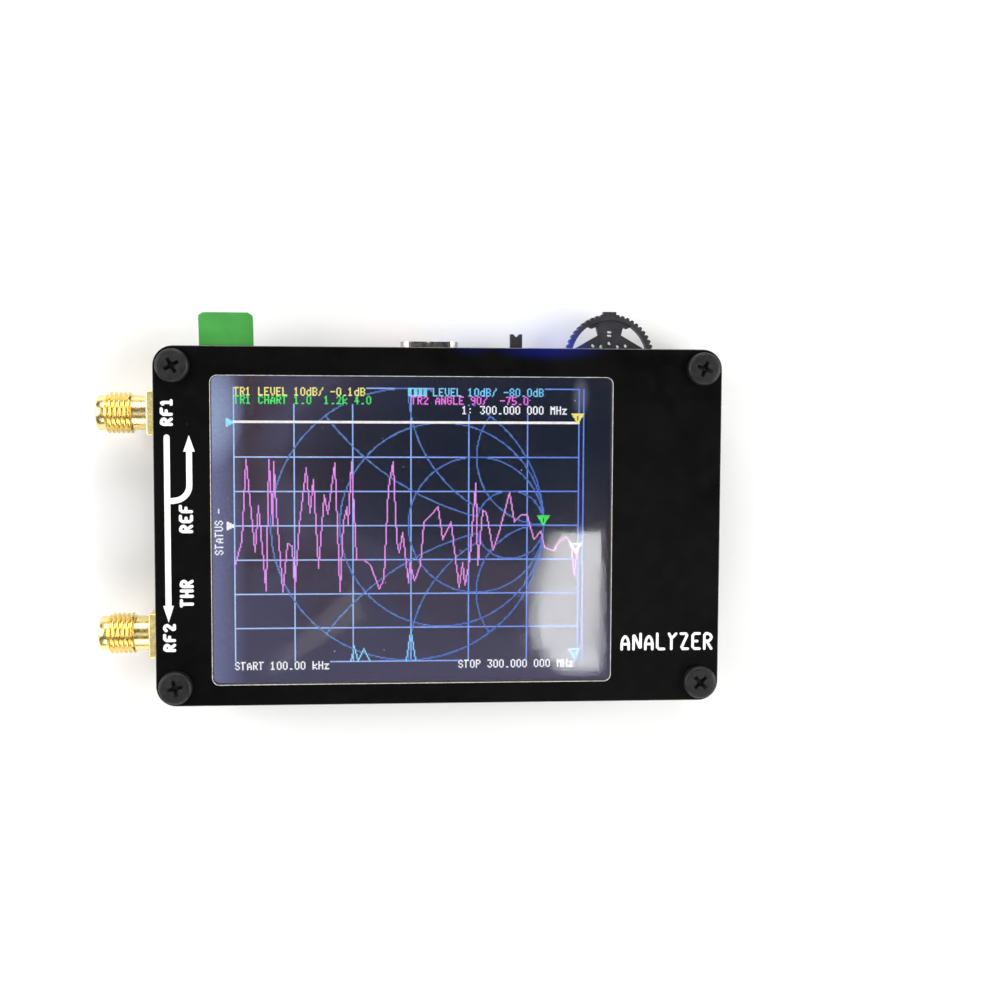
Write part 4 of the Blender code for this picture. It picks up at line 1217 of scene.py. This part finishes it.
def barrel_mesh(name, reach):
    """A jack's barrel along X: a helical thread between a plain neck and nose, round a bore."""
    thread_end = NECK + TURNS * PITCH
    bm = bmesh.new()

    def vertex(height, radius, step):
        angle = 2 * math.pi * step / BARREL_SIDES
        return bm.verts.new((height * MM, radius * MM * math.cos(angle), radius * MM * math.sin(angle)))

    columns = []
    for step in range(int(BARREL_SIDES * (thread_end / PITCH + 1)) + 2):
        column = []
        for part in range(THREAD_STEPS + 1):
            share = part / THREAD_STEPS
            height = min(max(PITCH * (step / BARREL_SIDES + share - 1), 0.0), thread_end)
            amount = max(0.0, min(1.0, (height - NECK) / RUN_OUT, (thread_end - height) / RUN_OUT))
            column.append(vertex(height, PLAIN + (thread_radius(share) - PLAIN) * amount, step))
        columns.append(column)
    for a, b in zip(columns, columns[1:]):
        for part in range(THREAD_STEPS):
            bm.faces.new((a[part], b[part], b[part + 1], a[part + 1]))

    nose = ((reach - 0.32, PLAIN), (reach - 0.12, PLAIN - 0.1), (reach, PLAIN - 0.26), (reach, BORE))
    ends = ((thread_end, PLAIN), *nose, (-1.7, BORE), (0, PLAIN))
    rings = [[vertex(height, radius, step) for step in range(BARREL_SIDES)] for height, radius in ends]
    for a, b in zip(rings, rings[1:]):
        for step in range(BARREL_SIDES):
            following = (step + 1) % BARREL_SIDES
            bm.faces.new((a[step], a[following], b[following], b[step]))
    bmesh.ops.remove_doubles(bm, verts=bm.verts, dist=0.002 * MM)
    bmesh.ops.dissolve_degenerate(bm, edges=bm.edges, dist=0.002 * MM)
    return to_mesh(bm, name)


def make_jack(name, node):
    """The gold body of a jack: a bevelled flange with legs, and a barrel with a real helix."""
    low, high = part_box(node)
    axis_y, axis_z = (low.y + high.y) / 2, (low.z + high.z) / 2
    flange_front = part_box("main_board")[0].x - FLANGE_DEPTH * MM
    mesh = barrel_mesh(name + "_barrel", (flange_front - low.x) / MM)
    mesh.transform(Matrix.Translation((flange_front, axis_y, axis_z)) @ Matrix.Rotation(math.pi, 4, "Z"))
    piece(name + "_barrel", mesh, [GOLD], smooth=32)

    bm = bmesh.new()
    side = (high.z - low.z) / MM / 2
    x0 = (flange_front - PANEL.x) / MM
    y, z = (axis_y - PANEL.y) / MM, (axis_z - PANEL.z) / MM
    add_box(bm, (x0 + 0.02, y - side, z - side), (x0 + 1.74, y + side, z + side))
    flange = to_mesh(bm, name + "_flange")
    hole = bmesh.new()
    along = Matrix.Translation(place(x0 + 1, y, z)) @ Matrix.Rotation(math.pi / 2, 4, "Y")
    size = {"radius1": FLANGE_BORE * MM, "radius2": FLANGE_BORE * MM, "depth": 6 * MM}
    bmesh.ops.create_cone(hole, cap_ends=True, segments=48, matrix=along, **size)
    flange = cut_by(flange, to_mesh(hole, "hole"), name + "_flange")
    body = piece(name + "_flange", flange, [GOLD], replaces=[node])
    soften(body, 0.22, 3, 40)
    bm = bmesh.new()
    board_low, board_high = level("main_board", 0), level("main_board", 1)
    for leg_z in (board_high + 0.05, board_low - 0.95):
        for offset in (-LEG_SPREAD, LEG_SPREAD):
            add_box(bm, (x0 + 1.6, y + offset - 0.45, leg_z),
                    (x0 + LEG_REACH, y + offset + 0.45, leg_z + 0.9))
    soften(piece(name + "_legs", bm, [GOLD]), 0.1)


def make_jacks():
    for number in (1, 2):
        name = f"port_{number}"
        make_jack(name, name + "_jack_body")
        finish_node(name + "_jack_insulator", PTFE)
        finish_node(name + "_jack_contact", GOLD)
        for part in ("insulator", "contact"):
            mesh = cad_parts[f"{name}_jack_{part}"].data
            mesh.shade_smooth()
            mesh.set_sharp_from_angle(angle=math.radians(35))


# ---- rear edge controls


def make_usb():
    """Steel shell and plastic tongue with its row of gold contacts."""
    shell = finish_node("usb_shell", STEEL)
    shell.data.shade_smooth()
    shell.data.set_sharp_from_angle(angle=math.radians(30))
    soften(finish_node("usb_tongue", BLACK_PLASTIC), 0.06)
    centre = middle("usb_tongue")
    (left, _, _), (right, mouth, _) = corners("usb_shell")
    bm = bmesh.new()
    for column in range(12):
        x = centre.x + (column - 5.5) * 0.5
        for side in (-1, 1):
            z = centre.z + side * 0.36
            add_box(bm, (x - 0.12, mouth - 4.6, z - 0.02), (x + 0.12, mouth - 1.2, z + 0.02))
    piece("usb_contacts", bm, [GOLD])
    bm = bmesh.new()
    board = level("main_board", 0)
    for x in (left - 0.15, right - 0.35):
        for y in (mouth - 2.6, mouth - 6.6):
            add_box(bm, (x, y, board - 1.3), (x + 0.5, y + 1.1, board - 0.02))
    soften(piece("usb_shell_tabs", bm, [STEEL]), 0.06)


def make_switch():
    """Slide switch: folded cover, contact block, solder pins and the notched knob."""
    soften(finish_node("switch_cover", STEEL), 0.12)
    soften(finish_node("switch_contact_block", BLACK_PLASTIC), 0.08)
    soften(finish_node("switch_slider", LEVER), 0.09, 2)
    centre = middle("switch_cover")
    inner = corners("switch_cover")[0][1]
    board = level("main_board", 0)
    bm = bmesh.new()
    for offset in (-2.5, 0, 2.5):
        add_box(bm, (centre.x + offset - 0.2, inner - 1.1, board - 0.32),
                (centre.x + offset + 0.2, inner - 0.15, board - 0.04))
    piece("switch_pins", bm, [TIN])


def make_jog():
    """The thumb lever's plastic parts and the solder pins of its base."""
    soften(finish_node("jog_wheel", LEVER), 0.07, 2, 32)
    soften(finish_node("jog_carriage", LEVER), 0.08)
    soften(finish_node("jog_base", BLACK_PLASTIC), 0.15)
    finish_node("jog_retaining_clip", STEEL)
    board = level("main_board", 0)
    inner = corners("jog_base")[0][1]
    bm = bmesh.new()
    for i in range(4):
        x = middle("jog_base").x + (i - 1.5) * 2.0
        add_box(bm, (x - 0.22, inner - 1.2, board - 0.3), (x + 0.22, inner - 0.02, board - 0.04))
    piece("jog_pins", bm, [TIN])


# ---- electronics


def add_leads(bm, node, count, pitch, along_x=True):
    """Gull-wing leads on two opposite sides of a chip that hangs under the board."""
    low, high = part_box(node)
    centre = middle(node)
    board = level("main_board", 0)
    half = ((high.y - low.y) if along_x else (high.x - low.x)) / MM / 2
    bends = ((0.02, 0.32, -0.62, -0.5), (0.22, 0.34, -0.62, -0.06), (0.22, 0.75, -0.18, -0.05))
    for i in range(count):
        offset = (i - (count - 1) / 2) * pitch
        along = (offset - 0.13, offset + 0.13)
        for side in (-1, 1):
            for inner, outer, z0, z1 in bends:
                out = sorted((side * (half + inner), side * (half + outer)))
                xs, ys = (along, out) if along_x else (out, along)
                add_box(bm, (centre.x + xs[0], centre.y + ys[0], board + z0),
                        (centre.x + xs[1], centre.y + ys[1], board + z1))


def taken_places(margin):
    """Rectangles under the main board that something bigger takes, in panel coordinates."""
    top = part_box("main_board")[0].z
    taken = []
    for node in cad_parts:
        low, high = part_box(node)
        if low.z < top - 0.02 * MM and high.z > top - 3 * MM:
            low, high = (low - PANEL) / MM, (high - PANEL) / MM
            taken.append((low.x - margin, high.x + margin, low.y - margin, high.y + margin))
    return taken


PASSIVE_PITCH = (1.95, 2.0)
EMPTY_SHARE = 0.45
PASSIVE_SIZES = ((1.6, 0.8, 0.7), (1.0, 0.5, 0.45), (1.0, 0.5, 0.35))


def make_passives():
    """Small capacitors and resistors between the chips, under the main board."""
    random.seed(5)
    bm = bmesh.new()
    board = level("main_board", 0)
    taken = taken_places(1.5)
    for column in range(-20, 21):
        for row in range(-12, 13):
            x, y = column * PASSIVE_PITCH[0], row * PASSIVE_PITCH[1]
            if random.random() < EMPTY_SHARE or any(a < x < b and c < y < d for a, b, c, d in taken):
                continue
            level_way = random.random() < 0.5
            length, width, height = random.choice(PASSIVE_SIZES)
            body = random.choice((1, 2))
            for start, end, index in ((-0.5, -0.28, 0), (-0.28, 0.28, body), (0.28, 0.5, 0)):
                shrink = 0.94 if index else 1.0
                a, b, w = start * length, end * length, width / 2 * shrink
                box = ((a, -w), (b, w)) if level_way else ((-w, a), (w, b))
                add_box(bm, (x + box[0][0], y + box[0][1], board - height * shrink - 0.02),
                        (x + box[1][0], y + box[1][1], board - 0.02), index)
    piece("small_components", bm, [TIN, CERAMIC, CHIP])


def make_electronics():
    for node in ("processor_chip", "audio_codec_chip", "clock_chip", "charger_chip"):
        soften(finish_node(node, CHIP), 0.07)
    bm = bmesh.new()
    add_leads(bm, "processor_chip", 12, 0.5)
    add_leads(bm, "processor_chip", 12, 0.5, False)
    add_leads(bm, "charger_chip", 4, 1.27)
    add_leads(bm, "clock_chip", 5, 0.5)
    piece("chip_leads", bm, [TIN])
    soften(finish_node("reference_oscillator", STEEL), 0.15)
    soften(finish_node("power_inductor", FERRITE), 0.3, 3)
    for node in ("receiver_shield_rear", "receiver_shield_near"):
        soften(finish_node(node, TIN), 0.12)
    finish_node("power_led", led("blue_led", (0.05, 0.16, 1.0), LED_GLOW))
    finish_node("status_led", led("dim_blue_led", (0.08, 0.2, 1.0), LED_GLOW))
    finish_node("charge_led", led("red_led", (1.0, 0.12, 0.1), CHARGE_GLOW))
    make_passives()


def make_battery():
    finish_node("battery_cell", foil_pouch())
    finish_node("battery_tape", FOAM)
    soften(finish_node("battery_socket", WHITE_PLASTIC), 0.1)
    soften(finish_node("battery_plug", WHITE_PLASTIC), 0.1)
    finish_node("battery_lead_red", RED_WIRE)
    finish_node("battery_lead_black", BLACK_WIRE)
    (x0, _, z0), (x1, y1, _) = corners("battery_cell")
    bm = bmesh.new()
    add_box(bm, (x0 + 1.2, y1 - 4.0, z0 - 0.06), (x1 - 1.2, y1 + 0.1, z0 - 0.01))
    soften(piece("cell_end_tape", bm, [AMBER_TAPE]), 0.02)


# ---- stage, light and camera


def make_floor():
    bm = bmesh.new()
    half = FLOOR_HALF * MM
    outline = [(-half, -half), (half, -half), (half, half), (-half, half)]
    bm.faces.new([bm.verts.new((x, y, -FLOOR_GAP * MM)) for x, y in outline])
    mesh = to_mesh(bm, "floor")
    mesh.materials.append(floor_paper())
    floor = bpy.data.objects.new("floor", mesh)
    scene.collection.objects.link(floor)


def add_light(name, location, target, size, power):
    """A rectangular soft light aimed at a point, all in panel coordinates."""
    data = bpy.data.lights.new(name, "AREA")
    data.shape = "RECTANGLE"
    data.size, data.size_y = size[0] * MM, size[1] * MM
    data.energy = power
    lamp = bpy.data.objects.new(name, data)
    scene.collection.objects.link(lamp)
    lamp.location = place(*location)
    aim = place(*target) - lamp.location
    lamp.rotation_euler = aim.to_track_quat("-Z", "Y").to_euler()
    return lamp


def make_lights():
    """Soft light from the sides, which keeps the black panel dark."""
    world = bpy.data.worlds.new("studio")
    world.use_nodes = True
    background = world.node_tree.nodes["Background"]
    background.inputs["Color"].default_value = (0.95, 0.97, 1.0, 1)
    seen = world.node_tree.nodes.new("ShaderNodeLightPath").outputs["Is Camera Ray"]
    strength = world.node_tree.nodes.new("ShaderNodeMapRange")
    strength.inputs["To Min"].default_value = AMBIENT
    strength.inputs["To Max"].default_value = BACKDROP
    world.node_tree.links.new(seen, strength.inputs["Value"])
    world.node_tree.links.new(strength.outputs["Result"], background.inputs["Strength"])
    scene.world = world
    for side, location, size, power in (
        ("left", (-620, 120, 420), (520, 620), 4.7), ("right", (620, -60, 420), (520, 620), 4.7),
        ("rear", (0, 680, 430), (700, 420), 4.2), ("front", (0, -660, 430), (700, 420), 3.4),
    ):
        add_light(side + "_softbox", location, (0, 0, 0), size, power)


def reflected(x, y):
    """Where a card at CARD_HEIGHT lies, for the glass to mirror it to the camera from a place."""
    tilt = Euler([math.radians(a) for a in PANEL_TILT], "XYZ").to_matrix()
    eye = tilt.transposed() @ -Vector(PANEL_FROM_CAMERA)
    reach = CARD_HEIGHT / eye.z
    return x + (x - eye.x) * reach, y + (y - eye.y) * reach


def add_card(name, low, high, radiance):
    """A card above the scene that shows in the glass between two corners."""
    x0, y0 = reflected(*low)
    x1, y1 = reflected(*high)
    power = radiance * math.pi * (x1 - x0) * (y1 - y0) * MM * MM
    centre = ((x0 + x1) / 2, (y0 + y1) / 2)
    card = add_light(name, (*centre, CARD_HEIGHT), (*centre, 0), (x1 - x0, y1 - y0), power)
    card.rotation_euler = (0, 0, 0)
    return card


def make_reflections():
    """A bright window at the lower right of the glass, a slanting streak, and a card for the jacks."""
    rows, top, bottom, right = 12, -1.0, -22.4, 24.6
    step = (top - bottom) / rows
    for row in range(rows):
        share = (row + 0.5) / rows
        left = 13.6 + 9.5 * (share - 0.6) ** 2 + 26 * max(0.0, share - 0.75) ** 1.5
        high_y, low_y = top - row * step, top - (row + 1) * step
        inner = left + WINDOW_RIM
        add_card(f"window_card_{row + 1}", (inner, low_y), (right, high_y), WINDOW_RADIANCE)
        add_card(f"window_rim_{row + 1}", (left, low_y), (inner, high_y), RIM_RADIANCE)
    add_card("jack_card", (-58, -24), (-42.6, 24), JACK_RADIANCE)
    for number, turn in enumerate((31, 37, 43)):
        low, high = (-27.5, -18.4 + number), (-10.5, -16.6 + number)
        streak = add_card(f"streak_card_{number + 1}", low, high, STREAK_RADIANCE)
        streak.rotation_euler = (0, 0, math.radians(turn))


def make_led_light():
    """The light that the power LED throws between the boards and onto the lever wheel."""
    data = bpy.data.lights.new("led_light", "POINT")
    data.energy = LED_POWER
    data.color = (0.03, 0.12, 1.0)
    data.shadow_soft_size = 0.0006
    lamp = bpy.data.objects.new("led_light", data)
    scene.collection.objects.link(lamp)
    led_middle = middle("power_led")
    lamp.location = place(led_middle.x - 0.6, led_middle.y + 1.7, led_middle.z - 0.9)


def make_camera():
    data = bpy.data.cameras.new("camera")
    data.lens = LENS
    data.sensor_width = 36.0
    data.clip_start = 0.005
    camera = bpy.data.objects.new("camera", data)
    scene.collection.objects.link(camera)
    tilt = Euler([math.radians(a) for a in PANEL_TILT], "XYZ").to_matrix()
    away = Vector(PANEL_FROM_CAMERA) * MM
    view = tilt.transposed()
    camera.matrix_world = Matrix.Translation(PANEL - view @ away) @ view.to_4x4()
    scene.camera = camera


make_camera()
make_floor()
make_lights()
make_reflections()
make_led_light()
scene.view_settings.view_transform = "Standard"

make_boards()
make_front_lettering()
make_back_lettering()
make_display()
make_fasteners()
make_jacks()
make_usb()
make_switch()
make_jog()
make_electronics()
make_battery()
